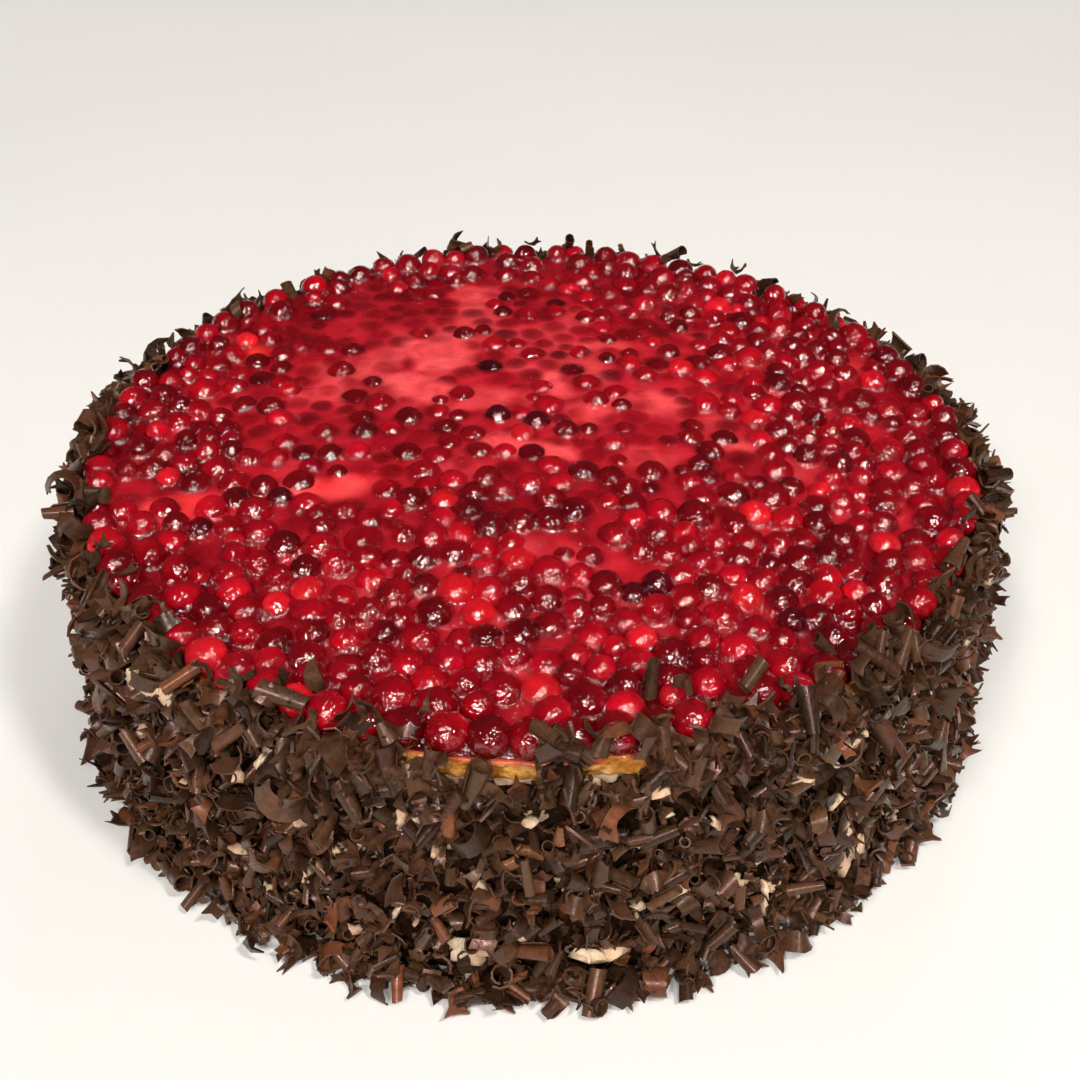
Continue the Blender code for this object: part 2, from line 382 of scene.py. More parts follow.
# ------------------------------------------------------------------ where the berries lie
# Thin spots of the topping, where milky jelly over cream shows and few berries do: x, y, half-sizes (mm), strength
PATCHES = [
    (-26, 46, 11, 12, 1.0), (-31, 25, 9, 9, 1.0), (8, 24, 7, 8, 0.95), (-12, 14, 12, 7, 0.8),
    (-3, -12, 11, 6, 1.0), (-52, -25, 10, 6, 1.0), (0, -55, 9, 8, 0.55), (-16, 84, 10, 10, 0.5),
    (20, 12, 8, 7, 0.6), (36, 14, 10, 8, 0.55), (-98, 10, 6, 12, 0.55), (-90, -35, 12, 7, 0.6),
    (30, -15, 9, 6, 0.5), (-45, 40, 8, 9, 0.45), (20, 50, 10, 7, 0.45), (-60, 60, 9, 7, 0.4),
    (55, -8, 8, 6, 0.45), (84, 34, 9, 7, 0.4), (-62, 18, 8, 8, 0.4), (40, 78, 9, 7, 0.35),
]
# Painted glow: bright warm red painted into the jelly's colour where it is thin and nearly clear
PAINTED_GLOWS = [(-52, -25, 9, 6), (-92, -36, 12, 6), (-90, 50, 9, 9), (62, 36, 8, 7), (-12, -95, 8, 5), (58, 88, 8, 6), (92, 36, 7, 7)]
BRIGHT = [
    (-89, 53), (-72, -90), (-56, -74), (-15, -76), (2, -105), (28, -87), (53, -72), (64, 35), (63, 74), (112, -28),
    (11, -42), (75, -29), (102, 65), (24, 99), (-26, -35), (-49, -65), (85, -48), (-96, -20), (-20, -66),
]
BLACK = [(-7, 2), (0, 6), (6, 42), (-22, 60), (52, 58), (23, 26), (44, 13), (29, -65)]


def patch_mask(x, y, patches, sharp=1.0):
    """0..1, high inside the thin spots."""
    out = np.zeros_like(np.asarray(x, float))
    for px, py, rx, ry, strength in patches:
        d = np.hypot((x * 1000 - px) / rx, (y * 1000 - py) / ry)
        out = np.maximum(out, strength * (1 - smooth(d, 0.35 / sharp, 1.50)))
    return out


def thin_spots(x, y):
    """0..1, high where the topping is thin; the outlines of the spots wander."""
    p = np.stack([x, y, 0 * x], -1)
    wx = x + 0.0050 * noise3(p, 0.014, 32) + 0.0022 * noise3(p, 0.006, 36)
    wy = y + 0.0050 * noise3(p, 0.014, 33) + 0.0022 * noise3(p, 0.006, 37)
    return patch_mask(wx, wy, PATCHES)


def jelly_level(x, y):
    r = np.hypot(x, y) / TOP_R
    p = np.stack([x, y, 0 * x], -1)
    return JELLY_MIDDLE + (JELLY_RIM - JELLY_MIDDLE) * smooth(r, 0.30, 0.93) + 0.00035 * noise3(p, 0.022, 5)


def from_pool(x, y):
    """Distance from the middle of the wide pool where most berries lie under the jelly: 1 about at its edge."""
    wander = 0.010 * noise3(np.stack([x, y, 0 * x], -1), 0.024, 9)
    return np.hypot((x + 0.014 + wander) / 0.084, (y - 0.030 - wander) / 0.074)


def berry_spots():
    """x, y, radius and the height of the berry's top above the jelly, for every berry near the surface."""
    rng = np.random.default_rng(SEED)
    pitch = 0.00825
    rim = int(TAU * 0.1160 / 0.0086)
    angle = (np.arange(rim) + rng.uniform(-0.30, 0.30, rim)) * TAU / rim
    radius = 0.1160 + rng.uniform(-0.0016, 0.0012, rim)
    ring = np.stack([radius * np.cos(angle), radius * np.sin(angle)], 1)[rng.random(rim) > 0.02]
    rows = int(0.108 / (pitch * math.sqrt(3) / 2)) + 1
    grid = []
    for j in range(-rows, rows + 1):
        for i in range(-rows - 4, rows + 5):
            x = (i + 0.5 * (j % 2)) * pitch + rng.uniform(-0.55, 0.55) * pitch
            y = j * pitch * math.sqrt(3) / 2 + rng.uniform(-0.55, 0.55) * pitch
            if math.hypot(x, y) < 0.1098 and rng.random() > 0.03:
                grid.append((x, y))
    points = np.concatenate([ring, np.array(grid)])
    n = len(points)
    size = np.clip(rng.normal(0.00402, 0.00066, n), 0.0026, 0.0050)
    size[: len(ring)] = np.clip(size[: len(ring)] + 0.00025, 0.0034, 0.0048)
    near = smooth(-points[:, 1], 0.030, 0.100)
    size = np.minimum(size + 0.00022 * near, 0.0049)
    for _ in range(16):
        apart = points[:, None] - points[None]
        distance = np.linalg.norm(apart, axis=2) + 1e-9
        push = np.clip(0.945 * (size[:, None] + size[None]) - distance, 0, None)
        np.fill_diagonal(push, 0)
        points = points + 0.22 * (apart / distance[..., None] * push[..., None]).sum(1)
        out = np.linalg.norm(points, axis=1)
        points *= np.minimum(1, (0.1206 - size) / np.maximum(out, 1e-9))[:, None]
    x, y = points.T
    r = np.hypot(x, y)
    at_rim = smooth(r, 0.100, 0.112)
    outward = np.maximum(smooth(from_pool(x, y), 0.62, 1.16), 0.95 * smooth(-y, -0.015, 0.070))
    thin = thin_spots(x, y)
    share = (0.51 + 0.49 * outward) * (1 - 0.90 * thin * (1 - at_rim))
    u = rng.random(n)
    proud = (1.5 + 2.1 * rng.random(n)) * (1 - outward) + (3.3 + 1.7 * rng.random(n)) * outward
    proud = proud * (1 - at_rim) + (4.6 + 1.2 * rng.random(n)) * at_rim
    sunk = 0.1 - 1.3 * rng.random(n) - 1.2 * thin
    rise = np.where(u < share, proud, sunk) / 1000
    # a berry at the rim rests on the sponge
    resting = TOP_Z0 + 2 * size + 0.0004 - jelly_level(x, y)
    rise = np.minimum(rise, resting + 0.0006 * (1 - at_rim))
    return x, y, size, rise


def berry_tones(x, y, rise):
    """A colour for each berry, from nearly black through crimson to glowing red."""
    rng = np.random.default_rng(SEED + 3)
    n = len(x)
    u = rng.random(n)
    dark = np.array([0.135, 0.0006, 0.0032])
    mid = np.array([0.250, 0.0011, 0.0058])
    red = np.array([0.350, 0.0020, 0.0090])
    bright = np.array([0.540, 0.0070, 0.0140])
    black = np.array([0.058, 0.0008, 0.0030])
    tone = np.where(u[:, None] < 0.34, dark, np.where(u[:, None] < 0.76, mid, red))
    tone = np.where(u[:, None] > 0.988, bright, tone)
    tone = np.where(u[:, None] < 0.012, black, tone)
    for spots, colour in ((BRIGHT, bright), (BLACK, black)):
        for px, py in spots:
            d = np.hypot(x * 1000 - px, y * 1000 - py)
            k = int(np.argmin(d))
            tone[k] = colour
    tone = tone * rng.uniform(0.80, 1.18, (n, 1)) * rng.uniform(0.9, 1.12, (n, 3))
    kind = np.where(tone[:, 0] > 0.46, 2, np.where(tone[:, 0] > 0.180, 1, 0))
    return tone, kind


def cap_faces(around, rows):
    """Triangles of a closed cap: a pole, rows of points down to its edge, and a centre under it."""
    tris = []
    last = 1 + rows * around

    def at(j, i):
        return 1 + j * around + i % around

    for i in range(around):
        tris.append((0, at(0, i), at(0, i + 1)))
        tris.append((last, at(rows - 1, i + 1), at(rows - 1, i)))
    for j in range(rows - 1):
        for i in range(around):
            a, b, c, d = at(j, i), at(j, i + 1), at(j + 1, i), at(j + 1, i + 1)
            if j % 2:
                tris += [(a, c, d), (a, d, b)]
            else:
                tris += [(a, c, b), (b, c, d)]
    return np.array(tris)


def berries(x, y, size, rise, tone, kind):
    """The berries that reach the surface, down to a little under the jelly: one piece for each of three kinds."""
    rng = np.random.default_rng(SEED + 4)
    level = jelly_level(x, y)
    shown = rise > 0.00015
    turns = random_turns(rng, len(x))
    squash = rng.uniform(0.92, 1.0, len(x))
    phase = rng.uniform(0, TAU, (len(x), 6))
    # painted light: for each berry, a direction towards which its colour is painted lighter
    painted_light_dir = rng.normal(size=(len(x), 3)) * [1, 1, 0.5] - [0, 0.5, 0.9]
    painted_light_dir /= np.linalg.norm(painted_light_dir, axis=1)[:, None]
    made = []
    for k, name in enumerate(("berries_dark", "berries_red", "berries_bright")):
        verts, faces, colours, count = [], [], [], 0
        for tall in (False, True):
            around, rows = (22, 10) if tall else (18, 6)
            pick = np.where(shown & (kind == k) & ((rise > 0.0024) == tall))[0]
            if not len(pick):
                continue
            # polar angle of each berry's own cut, under the jelly
            low = np.arccos(np.clip(1 - rise[pick] / size[pick], -0.95, 1)) + 0.42
            low = np.minimum(low, math.pi * 0.94)
            j = (np.arange(1, rows + 1) / rows)[None, :, None]
            i = np.arange(around)[None, None, :]
            b = low[:, None, None] * j
            a = TAU * (i + 0.5 * (np.arange(rows) % 2)[None, :, None]) / around
            u = np.stack([np.sin(b) * np.cos(a), np.sin(b) * np.sin(a), np.cos(b) + 0 * a], -1).reshape(len(pick), -1, 3)
            top = np.tile([0.0, 0.0, 1.0], (len(pick), 1, 1))
            under = np.stack([0 * low, 0 * low, np.cos(low)], -1)[:, None]
            u = np.concatenate([top, u, under], 1)
            v = np.einsum("nji,nvj->nvi", turns[pick], u)
            dent = (
                0.020 * np.sin(3 * v[..., 0] + phase[pick, 0, None])
                + 0.018 * np.sin(4 * v[..., 1] + phase[pick, 1, None])
                + 0.011 * np.sin(8 * v[..., 2] + phase[pick, 2, None]) * np.cos(6 * v[..., 0] + phase[pick, 3, None])
            )
            # the flower end is a shallow dimple
            dent = dent - 0.08 * np.exp(-(((1 - v[..., 2]) / 0.05) ** 1.5))
            world = u * (1 + dent)[..., None] * size[pick, None, None]
            world[..., 2] *= squash[pick, None]
            world[..., 2] -= (squash[pick] - 1)[:, None] * size[pick, None]
            world[..., 0] += x[pick, None]
            world[..., 1] += y[pick, None]
            world[..., 2] += (level + rise - size)[pick, None]
            # painted light, standing in for light that has gone through the flesh: each berry's colour is painted
            # lighter on one side, mostly the low front one, and darker on the other
            glow = 1.0 + (0.42 if k < 2 else 0.25) * np.einsum("nvi,ni->nv", u, painted_light_dir[pick])
            # and its foot, between its neighbours, is painted darker: painted shade
            foot = 0.58 + 0.42 * smooth(u[..., 2] - np.cos(low)[:, None], 0.10, 1.0)
            colour = tone[pick, None, :] * (glow * foot)[..., None]
            tri = cap_faces(around, rows)
            verts.append(world.reshape(-1, 3))
            colours.append(colour.reshape(-1, 3))
            faces.append((tri[None] + (np.arange(len(pick)) * u.shape[1])[:, None, None]).reshape(-1, 3) + count)
            count += len(pick) * u.shape[1]
        obj = make_mesh(name, np.concatenate(verts), [np.concatenate(faces)], np.concatenate(colours))
        made.append(obj)
    return made


def jelly(x, y, size, rise, tone):
    """The jelly's surface: a shallow, wavy pool that climbs the foot of every berry, and falls away at the rim."""
    rng = np.random.default_rng(SEED + 5)
    level = jelly_level(x, y)
    centre = level + rise - size
    climb = np.clip(0.40 * rise, 0, 0.00145)
    # where the climbed jelly touches each berry, and how steeply
    above = level + climb - centre
    touch = np.sqrt(np.clip(size**2 - above**2, 0, None))
    steep = np.where(above > 0.0002, touch / np.maximum(above, 0.0002), 20.0)
    fall = np.clip(climb / np.maximum(steep, 0.2), 0.00050, 0.0011)
    shown = rise > 0.00015
    spots = []
    pitch = 0.0018
    rows = int(TOP_R / (pitch * math.sqrt(3) / 2)) + 1
    side = int(TOP_R / pitch) + 2
    i, j = np.meshgrid(np.arange(-side, side + 1), np.arange(-rows, rows + 1))
    bed = np.stack([(i + 0.5 * (j % 2)) * pitch, j * pitch * math.sqrt(3) / 2], -1).reshape(-1, 2)
    bed += rng.uniform(-0.2, 0.2, bed.shape) * pitch
    rings = []
    for k in np.where(rise > -0.0024)[0]:
        if shown[k]:
            reach = touch[k] + np.array([-0.00055, -0.00005, 0.00030, 0.00070, 0.0014])
        else:
            reach = size[k] * np.array([0.35, 0.66, 0.90, 1.14])
        for m, d in enumerate(reach):
            if d < 0.0004:
                continue
            n = max(8, int(round(TAU * d / (0.00115 if m < 3 else 0.0015))))
            a = (np.arange(n) + rng.random()) * TAU / n
            rings.append(np.stack([x[k] + d * np.cos(a), y[k] + d * np.sin(a)], 1))
    n_rim = 460
    a = np.arange(n_rim) * TAU / n_rim
    rim = TOP_R * np.stack([np.cos(a), np.sin(a)], 1)
    brow = [
        q * np.stack([np.cos(a + s), np.sin(a + s)], 1)
        for q, s in ((TOP_R - 0.0007, TAU / n_rim / 2), (TOP_R - 0.0016, 0.0))
    ]
    inner = np.concatenate(rings + [bed])
    inner = inner[np.hypot(inner[:, 0], inner[:, 1]) < TOP_R - 0.0023]
    points = np.concatenate([rim] + brow + [inner])
    # drop points deep inside a berry, and all but the first in each small cell
    keep = np.ones(len(points), bool)
    for k in np.where(shown)[0]:
        near = (np.abs(points[:, 0] - x[k]) < size[k]) & (np.abs(points[:, 1] - y[k]) < size[k])
        near = np.where(near)[0]
        d = np.hypot(points[near, 0] - x[k], points[near, 1] - y[k])
        keep[near[d < touch[k] - 0.0006]] = False
    keep[: n_rim * 3] = True
    points = np.concatenate([points[keep], np.stack([x, y], 1)[shown & (touch > 0.0012)]])
    cell = np.round(points / 0.00034).astype(np.int64)
    _, first = np.unique(cell[:, 0] * 100003 + cell[:, 1], return_index=True)
    points = points[np.sort(first)]
    flat, _, faces, *_ = geometry.delaunay_2d_cdt([Vector(q) for q in points], [], [], 0, 1e-7, False)
    px, py = np.array([tuple(q) for q in flat]).T
    n_top = len(px)
    r = np.hypot(px, py)
    p3 = np.stack([px, py, 0 * px], -1)

    base = jelly_level(px, py)
    thin = thin_spots(px, py)
    milk = 0.32 + 0.48 * fractal(p3, 0.018, 31) + 0.70 * thin + 0.24 * (1 - smooth(from_pool(px, py), 0.30, 1.05))
    milk -= 0.22 * smooth(r, 0.080, 0.112)
    milk = np.clip(milk, 0, 1)
    glow = patch_mask(px + 0.003 * noise3(p3, 0.011, 34), py + 0.003 * noise3(p3, 0.011, 35), [(*g, 0.9) for g in PAINTED_GLOWS])

    rise_all = np.zeros(n_top)
    sunk_in = np.full(n_top, 1.0)
    dark = np.zeros(n_top)
    sunk_tone = np.zeros((n_top, 3))
    sunk_weight = np.zeros(n_top)
    for k in range(len(x)):
        wide = size[k] + 0.006
        near = np.where((np.abs(px - x[k]) < wide) & (np.abs(py - y[k]) < wide))[0]
        d = np.hypot(px[near] - x[k], py[near] - y[k])
        crown = centre[k] + np.sqrt(np.maximum(size[k] ** 2 - d * d, 0))
        if shown[k]:
            up = climb[k] * np.exp(-np.clip(d - touch[k], 0, None) / fall[k])
            rise_all[near] += up**3
            # inside the berry the jelly goes on just under the skin
            inward = np.clip(touch[k] - d, 0, None)
            hidden = np.minimum(crown - 0.00014 - base[near], climb[k] + np.minimum(2.0 * inward, 0.0012))
            sunk_in[near] = np.where(d < touch[k] - 0.00002, np.minimum(sunk_in[near], hidden), sunk_in[near])
        elif rise[k] > -0.0012:
            rise_all[near] += (0.00075 * np.exp(-((d / (0.75 * size[k])) ** 2))) ** 3
        cover = base[near] - crown
        w = (1 - smooth(d, 0.70 * size[k], 1.06 * size[k])) * np.exp(-np.clip(cover - 0.0006, 0, None) / 0.0030)
        better = w > sunk_weight[near]
        sunk_weight[near[better]] = w[better]
        sunk_tone[near[better]] = np.minimum(tone[k], [0.34, 0.003, 0.010])
        # painted shade: the jelly's colour is darkened close round each berry, less round the sunk ones
        dark[near] = np.maximum(dark[near], np.exp(-np.clip(d - 0.9 * size[k], 0, None) / 0.0017) * (1.0 if shown[k] else 0.35))
    z = base + np.minimum(np.cbrt(rise_all), 0.0019) + 0.00010 * noise3(p3, 0.0040, 12)
    z = np.where(sunk_in < 0.9, np.maximum(base + sunk_in, base - 0.0012), z)
    edge = smooth(r, 0.1150, TOP_R)
    ripple = 0.0006 * noise3(np.stack([np.arctan2(py, px) * 0.12, 0 * px, 0 * px], -1), 0.006, 41)
    z = z * (1 - edge) + (TOP_Z0 + 0.0005 + 0.7 * ripple) * edge

    deep = np.array([0.190, 0.0008, 0.0048])
    middle = np.array([0.480, 0.0110, 0.0210])
    pale = np.array([0.780, 0.0700, 0.0800])
    warm = np.array([0.940, 0.0360, 0.0320])
    m = milk[:, None]
    colour = np.where(m < 0.5, deep + (middle - deep) * (m / 0.5), middle + (pale - middle) * ((m - 0.5) / 0.5))
    # painted glow: the warm red is mixed in over the glow patches
    g = (glow * (0.6 + 0.4 * noise3(p3, 0.012, 77)))[:, None].clip(0, 1)
    colour = colour * (1 - g) + warm * g
    # painted shade round the berries, weaker where the jelly is milky or thin
    colour = colour * (1 - 0.66 * dark * (1 - 0.55 * milk) * (1 - 0.80 * smooth(thin, 0.02, 0.62)))[:, None]
    # painted shade: the jelly is darker at its outer edge
    colour = colour * (1 - 0.55 * smooth(r, 0.1160, 0.1180))[:, None]
    sw = (0.94 * sunk_weight * (1 - 0.80 * smooth(thin, 0.05, 0.80)))[:, None]
    colour = colour * (1 - sw) + (0.64 * sunk_tone + 0.05 * colour) * sw

    # the underside is flat, and joined to the surface round the rim
    on_rim = np.where(r > TOP_R - 1e-6)[0]
    on_rim = on_rim[np.argsort(np.arctan2(py[on_rim], px[on_rim]))]
    n = len(on_rim)
    low = n_top + np.arange(n)
    hub = n_top + n
    here, nxt = np.arange(n), (np.arange(n) + 1) % n
    skirt = np.concatenate(
        [
            np.stack([on_rim[here], low[here], low[nxt]], 1),
            np.stack([on_rim[here], low[nxt], on_rim[nxt]], 1),
            np.stack([np.full(n, hub), low[nxt], low[here]], 1),
        ]
    )
    tri = np.array(faces)
    e1 = np.stack([px[tri[:, 1]] - px[tri[:, 0]], py[tri[:, 1]] - py[tri[:, 0]]], 1)
    e2 = np.stack([px[tri[:, 2]] - px[tri[:, 0]], py[tri[:, 2]] - py[tri[:, 0]]], 1)
    turned = e1[:, 0] * e2[:, 1] - e1[:, 1] * e2[:, 0] < 0
    tri[turned] = tri[turned][:, ::-1]
    verts = np.concatenate(
        [
            np.stack([px, py, z], 1),
            np.stack([px[on_rim], py[on_rim], np.full(n, TOP_Z0)], 1),
            [[0, 0, TOP_Z0]],
        ]
    )
    colour = np.concatenate([colour, colour[on_rim], [deep]])
    return make_mesh("jelly", verts, [np.concatenate([tri, skirt])], colour)


def calyxes(x, y, size, rise):
    """Dried flower ends: small dark five-pointed crowns on some of the berries."""
    rng = np.random.default_rng(SEED + 6)
    pick = np.where(rise > 0.0018)[0]
    pick = pick[rng.random(len(pick)) < 0.085]
    level = jelly_level(x, y)
    verts, faces, count = [], [], 0
    for k in pick:
        a = rng.uniform(0, TAU)
        b = rng.uniform(0.35, 1.15)
        out = np.array([math.sin(b) * math.cos(a), math.sin(b) * math.sin(a), math.cos(b)])
        side = np.cross(out, [0.3, 0.2, 0.9])
        side /= np.linalg.norm(side)
        across = np.cross(out, side)
        place = np.array([x[k], y[k], level[k] + rise[k] - size[k]]) + out * size[k] * 0.93
        wide = rng.uniform(0.0006, 0.0010)
        ring = []
        for i in range(10):
            t = TAU * i / 10
            tip = i % 2 == 0
            far = wide * (1.0 if tip else 0.55) * rng.uniform(0.85, 1.15)
            up = 0.00065 if tip else 0.00015
            ring.append(place + side * far * math.cos(t) + across * far * math.sin(t) + out * up)
        inner = [place + side * wide * 0.3 * math.cos(TAU * i / 10) + across * wide * 0.3 * math.sin(TAU * i / 10) - out * 0.0001 for i in range(10)]
        base = [place + side * wide * 0.5 * math.cos(TAU * i / 10) + across * wide * 0.5 * math.sin(TAU * i / 10) - out * 0.0005 for i in range(10)]
        block = np.array(ring + inner + base + [place - out * 0.0001, place - out * 0.0006])
        for i in range(10):
            j = (i + 1) % 10
            faces += [(i, j, 10 + j), (i, 10 + j, 10 + i)]
            faces += [(10 + i, 10 + j, 30)]
            faces += [(j, i, 20 + i), (j, 20 + i, 20 + j)]
            faces += [(20 + j, 20 + i, 31)]
            faces[-6:] = [tuple(v + count for v in f) for f in faces[-6:]]
        verts.append(block)
        count += len(block)
    return make_mesh("flower_ends", np.concatenate(verts), [np.array(faces)], smooth_shade=False)


# ------------------------------------------------------------------ turned, lumpy bodies: cream, sponge, crumbs
def lumpy_turned(name, profile, around, shape, colour=None):
    """A closed body turned from (r, z) points, top centre to bottom centre, whose points are then moved by shape()."""
    profile = np.array(profile)
    rings = profile[1:-1]
    a = np.arange(around) * TAU / around
    grid = np.stack(
        [
            rings[:, None, 0] * np.cos(a)[None],
            rings[:, None, 0] * np.sin(a)[None],
            np.repeat(rings[:, 1, None], around, 1),
        ],
        -1,
    )
    grid = shape(grid)
    verts = np.concatenate([[[0, 0, profile[0, 1]]], grid.reshape(-1, 3), [[0, 0, profile[-1, 1]]]])
    quads, tris = [], []
    i = np.arange(around)
    nxt = (i + 1) % around
    for j in range(len(rings) - 1):
        a0, a1 = 1 + j * around + i, 1 + j * around + nxt
        b0, b1 = a0 + around, a1 + around
        quads.append(np.stack([a0, b0, b1, a1], 1))
    tris.append(np.stack([np.zeros(around, int), 1 + i, 1 + nxt], 1))
    last = len(verts) - 1
    start = 1 + (len(rings) - 1) * around
    tris.append(np.stack([np.full(around, last), start + nxt, start + i], 1))
    tint = None if colour is None else colour(verts)
    return make_mesh(name, verts, [np.concatenate(quads), np.concatenate(tris)], tint)


# Places on the side where the curls leave the cake bare: angle from the front (degrees, to the right), height (mm),
# half-width (degrees), half-height (mm)
BARE = [
    (-4.5, 68.8, 4.2, 1.8), (7.0, 68.4, 4.0, 2.2), (38.5, 66.5, 1.8, 3.0),
    (-45.0, 62.5, 3.6, 3.0), (-39.5, 61.5, 1.8, 4.0), (-27.5, 59.0, 1.5, 2.2), (-12.0, 53.5, 1.2, 1.8),
    (-19.5, 36.0, 2.2, 1.4), (-18.5, 9.0, 1.0, 1.8), (-6.5, 9.5, 2.6, 1.5), (7.5, 7.5, 2.8, 1.5),
    (15.0, 27.0, 1.4, 1.4), (21.5, 22.0, 1.8, 2.0), (26.5, 17.0, 1.8, 1.6), (35.5, 57.0, 1.4, 2.0),
    (12.0, 62.0, 1.1, 1.0), (-33.0, 22.0, 1.4, 1.4), (33.0, 38.0, 1.0, 1.6), (47.0, 52.0, 1.0, 2.0),
    (-52.0, 58.0, 2.0, 1.6), (-31.0, 50.0, 0.9, 1.6), (-24.0, 44.0, 1.0, 1.2), (-9.0, 43.0, 0.9, 1.5), (0.5, 55.5, 1.1, 1.4),
    (4.0, 33.0, 1.0, 1.3), (-13.0, 21.0, 1.3, 1.0), (18.0, 47.0, 1.1, 1.3), (29.0, 50.0, 1.0, 1.2), (43.0, 30.0, 1.3, 1.4),
    (-48.0, 40.0, 1.1, 1.6), (-40.0, 33.0, 0.9, 1.4), (-58.0, 26.0, 1.2, 1.5), (55.0, 60.0, 1.5, 1.8), (60.0, 14.0, 2.0, 1.6),
    (39.0, 10.0, 2.2, 1.4), (-29.0, 12.0, 1.4, 1.2), (-1.0, 18.0, 1.0, 1.0), (51.0, 21.0, 1.2, 1.4),
]


def all_bare():
    """The bare places at the front, and others like them round the rest of the cake."""
    rng = np.random.default_rng(SEED + 8)
    spots = list(BARE)
    for _ in range(60):
        phi = rng.uniform(64, 296)
        z = rng.choice([rng.uniform(6, 14), rng.uniform(20, 50), rng.uniform(56, 68)], p=[0.35, 0.25, 0.4])
        wide = rng.uniform(0.9, 1.6) if rng.random() < 0.7 else rng.uniform(1.6, 3.4)
        spots.append((phi, z, wide, wide * rng.uniform(0.7, 1.4)))
    return np.array(spots)


BARE_SPOTS = all_bare()


def bare_mask(p, grow=1.0):
    """0..1, high where a point of the side lies in a bare place."""
    phi = np.degrees(np.arctan2(p[..., 0], -p[..., 1])) + 0.9 * noise3(p, 0.0030, 91)
    height = p[..., 2] * 1000 + 1.3 * noise3(p, 0.0034, 92)
    out = np.zeros(phi.shape)
    for c, z, w, h in BARE_SPOTS:
        turn = (phi - c + 180) % 360 - 180
        d = np.hypot(turn / (w * grow), (height - z) / (h * grow))
        out = np.maximum(out, 1 - smooth(d, 0.7, 1.3))
    return out


def side_rows(r, top, bottom, edge, count):
    """Profile points down a side, with rounded upper and lower edges."""
    points = []
    for i in range(5):
        t = math.pi / 2 * i / 4
        points.append((r - edge + edge * math.sin(t), top - edge + edge * math.cos(t)))
    for i in range(1, count):
        points.append((r, top - edge + (bottom + 0.001 - top + edge) * i / count))
    points.append((r, bottom + 0.001))
    points.append((r - 0.001, bottom))
    return points


def cream_core():
    def shape(g):
        flat = g.reshape(-1, 3)
        r = np.hypot(flat[:, 0], flat[:, 1])
        on_side = smooth(r, BODY_R - 0.0035, BODY_R - 0.0005)
        lump = 0.0006 * fractal(flat, 0.009, 3) + 0.0034 * bare_mask(flat, 1.25)
        lump = lump - 0.0004
        off = (lump * on_side)[:, None] * np.stack([flat[:, 0] / r, flat[:, 1] / r, 0 * r], 1)
        out = flat + off
        out[:, 2] = np.clip(out[:, 2], 0, BODY_Z)
        return out.reshape(g.shape)

    rows = side_rows(BODY_R, BODY_Z, 0.0, 0.003, 34)
    profile = [(0, BODY_Z), (BODY_R * 0.6, BODY_Z)] + rows + [(0, 0)]
    return lumpy_turned("cream", profile, 320, shape)


def cream_flecks():
    """Bits of cream pressed out between the curls."""
    rng = np.random.default_rng(SEED + 12)
    n = 150
    phi = rng.uniform(0, TAU, n)
    z = np.where(rng.random(n) < 0.62, rng.uniform(0.002, 0.034, n), rng.uniform(0.034, 0.068, n))
    # at the bare places there is more of it
    own = np.array([spot for spot in BARE_SPOTS if spot[1] < 65])
    own = np.concatenate([own, own[own[:, 2] > 1.3], own[own[:, 2] > 1.6]])
    reach = own[:, 2:] * [math.radians(1), 0.001]
    phi = np.concatenate([phi, np.radians(own[:, 0]) + rng.uniform(-0.6, 0.6, len(own)) * reach[:, 0]])
    z = np.concatenate([z, own[:, 1] / 1000 + rng.uniform(-0.6, 0.6, len(own)) * reach[:, 1]])
    r = coat_radius(z) - 0.0030 - 0.0022 * rng.random(len(z))
    r[n:] = 0.1246 + 0.0012 * rng.random(len(own))
    # on the line along which the place behind would be seen
    z[n:] += (1.28 - 0.28 * smooth(z[n:], 0.020, 0.066)) * (r[n:] - 0.1215)
    grown = np.ones(len(z))
    grown[n:] = np.clip(0.65 + 0.42 * own[:, 2], 0.9, 1.7)
    n = len(z)
    out = np.stack([np.sin(phi), -np.cos(phi), 0 * phi], -1)
    right = np.stack([np.cos(phi), np.sin(phi), 0 * phi], -1)
    up = np.tile([0.0, 0.0, 1.0], (n, 1))
    centre = out * r[:, None] + up * z[:, None]
    around, rows = 8, 4
    b = (np.arange(1, rows) / rows * math.pi)[None, :, None]
    a = (TAU * np.arange(around) / around)[None, None, :]
    ball = np.stack([np.sin(b) * np.cos(a), np.sin(b) * np.sin(a), np.cos(b) + 0 * a], -1).reshape(1, -1, 3)
    ball = np.concatenate([[[[0, 0, 1.0]]][0], ball[0], [[0, 0, -1.0]]])[None].repeat(n, 0)
    lumpy = 1 + 0.60 * noise3(ball * 1.3 + 7.0 * np.arange(n)[:, None, None], 1.0, 14)
    ball = ball * lumpy[..., None]
    spin = rng.uniform(0, TAU, n)
    c, s = np.cos(spin)[:, None], np.sin(spin)[:, None]
    long = rng.uniform(0.0010, 0.0030, n) * grown
    wide = long * rng.uniform(0.25, 0.60, n)
    deep = rng.uniform(0.0010, 0.0020, n)
    ax = (right * c + up * s) * long[:, None]
    ay = (-right * s + up * c) * wide[:, None]
    az = out * deep[:, None]
    world = centre[:, None] + ball[..., :1] * ax[:, None] + ball[..., 1:2] * ay[:, None] + ball[..., 2:] * az[:, None]
    world[..., 2] += np.clip(0.0002 - world[..., 2].min(1), 0, None)[:, None]
    last = 1 + (rows - 1) * around
    tris = []
    for i in range(around):
        j = (i + 1) % around
        tris.append((0, 1 + i, 1 + j))
        tris.append((last, 1 + (rows - 2) * around + j, 1 + (rows - 2) * around + i))
        for k in range(rows - 2):
            p, q = 1 + k * around, 1 + (k + 1) * around
            tris += [(p + i, q + i, q + j), (p + i, q + j, p + j)]
    tris = np.array(tris)
    all_tris = (tris[None] + (np.arange(n) * world.shape[1])[:, None, None]).reshape(-1, 3)
    return make_mesh("cream_flecks", world.reshape(-1, 3), [all_tris])


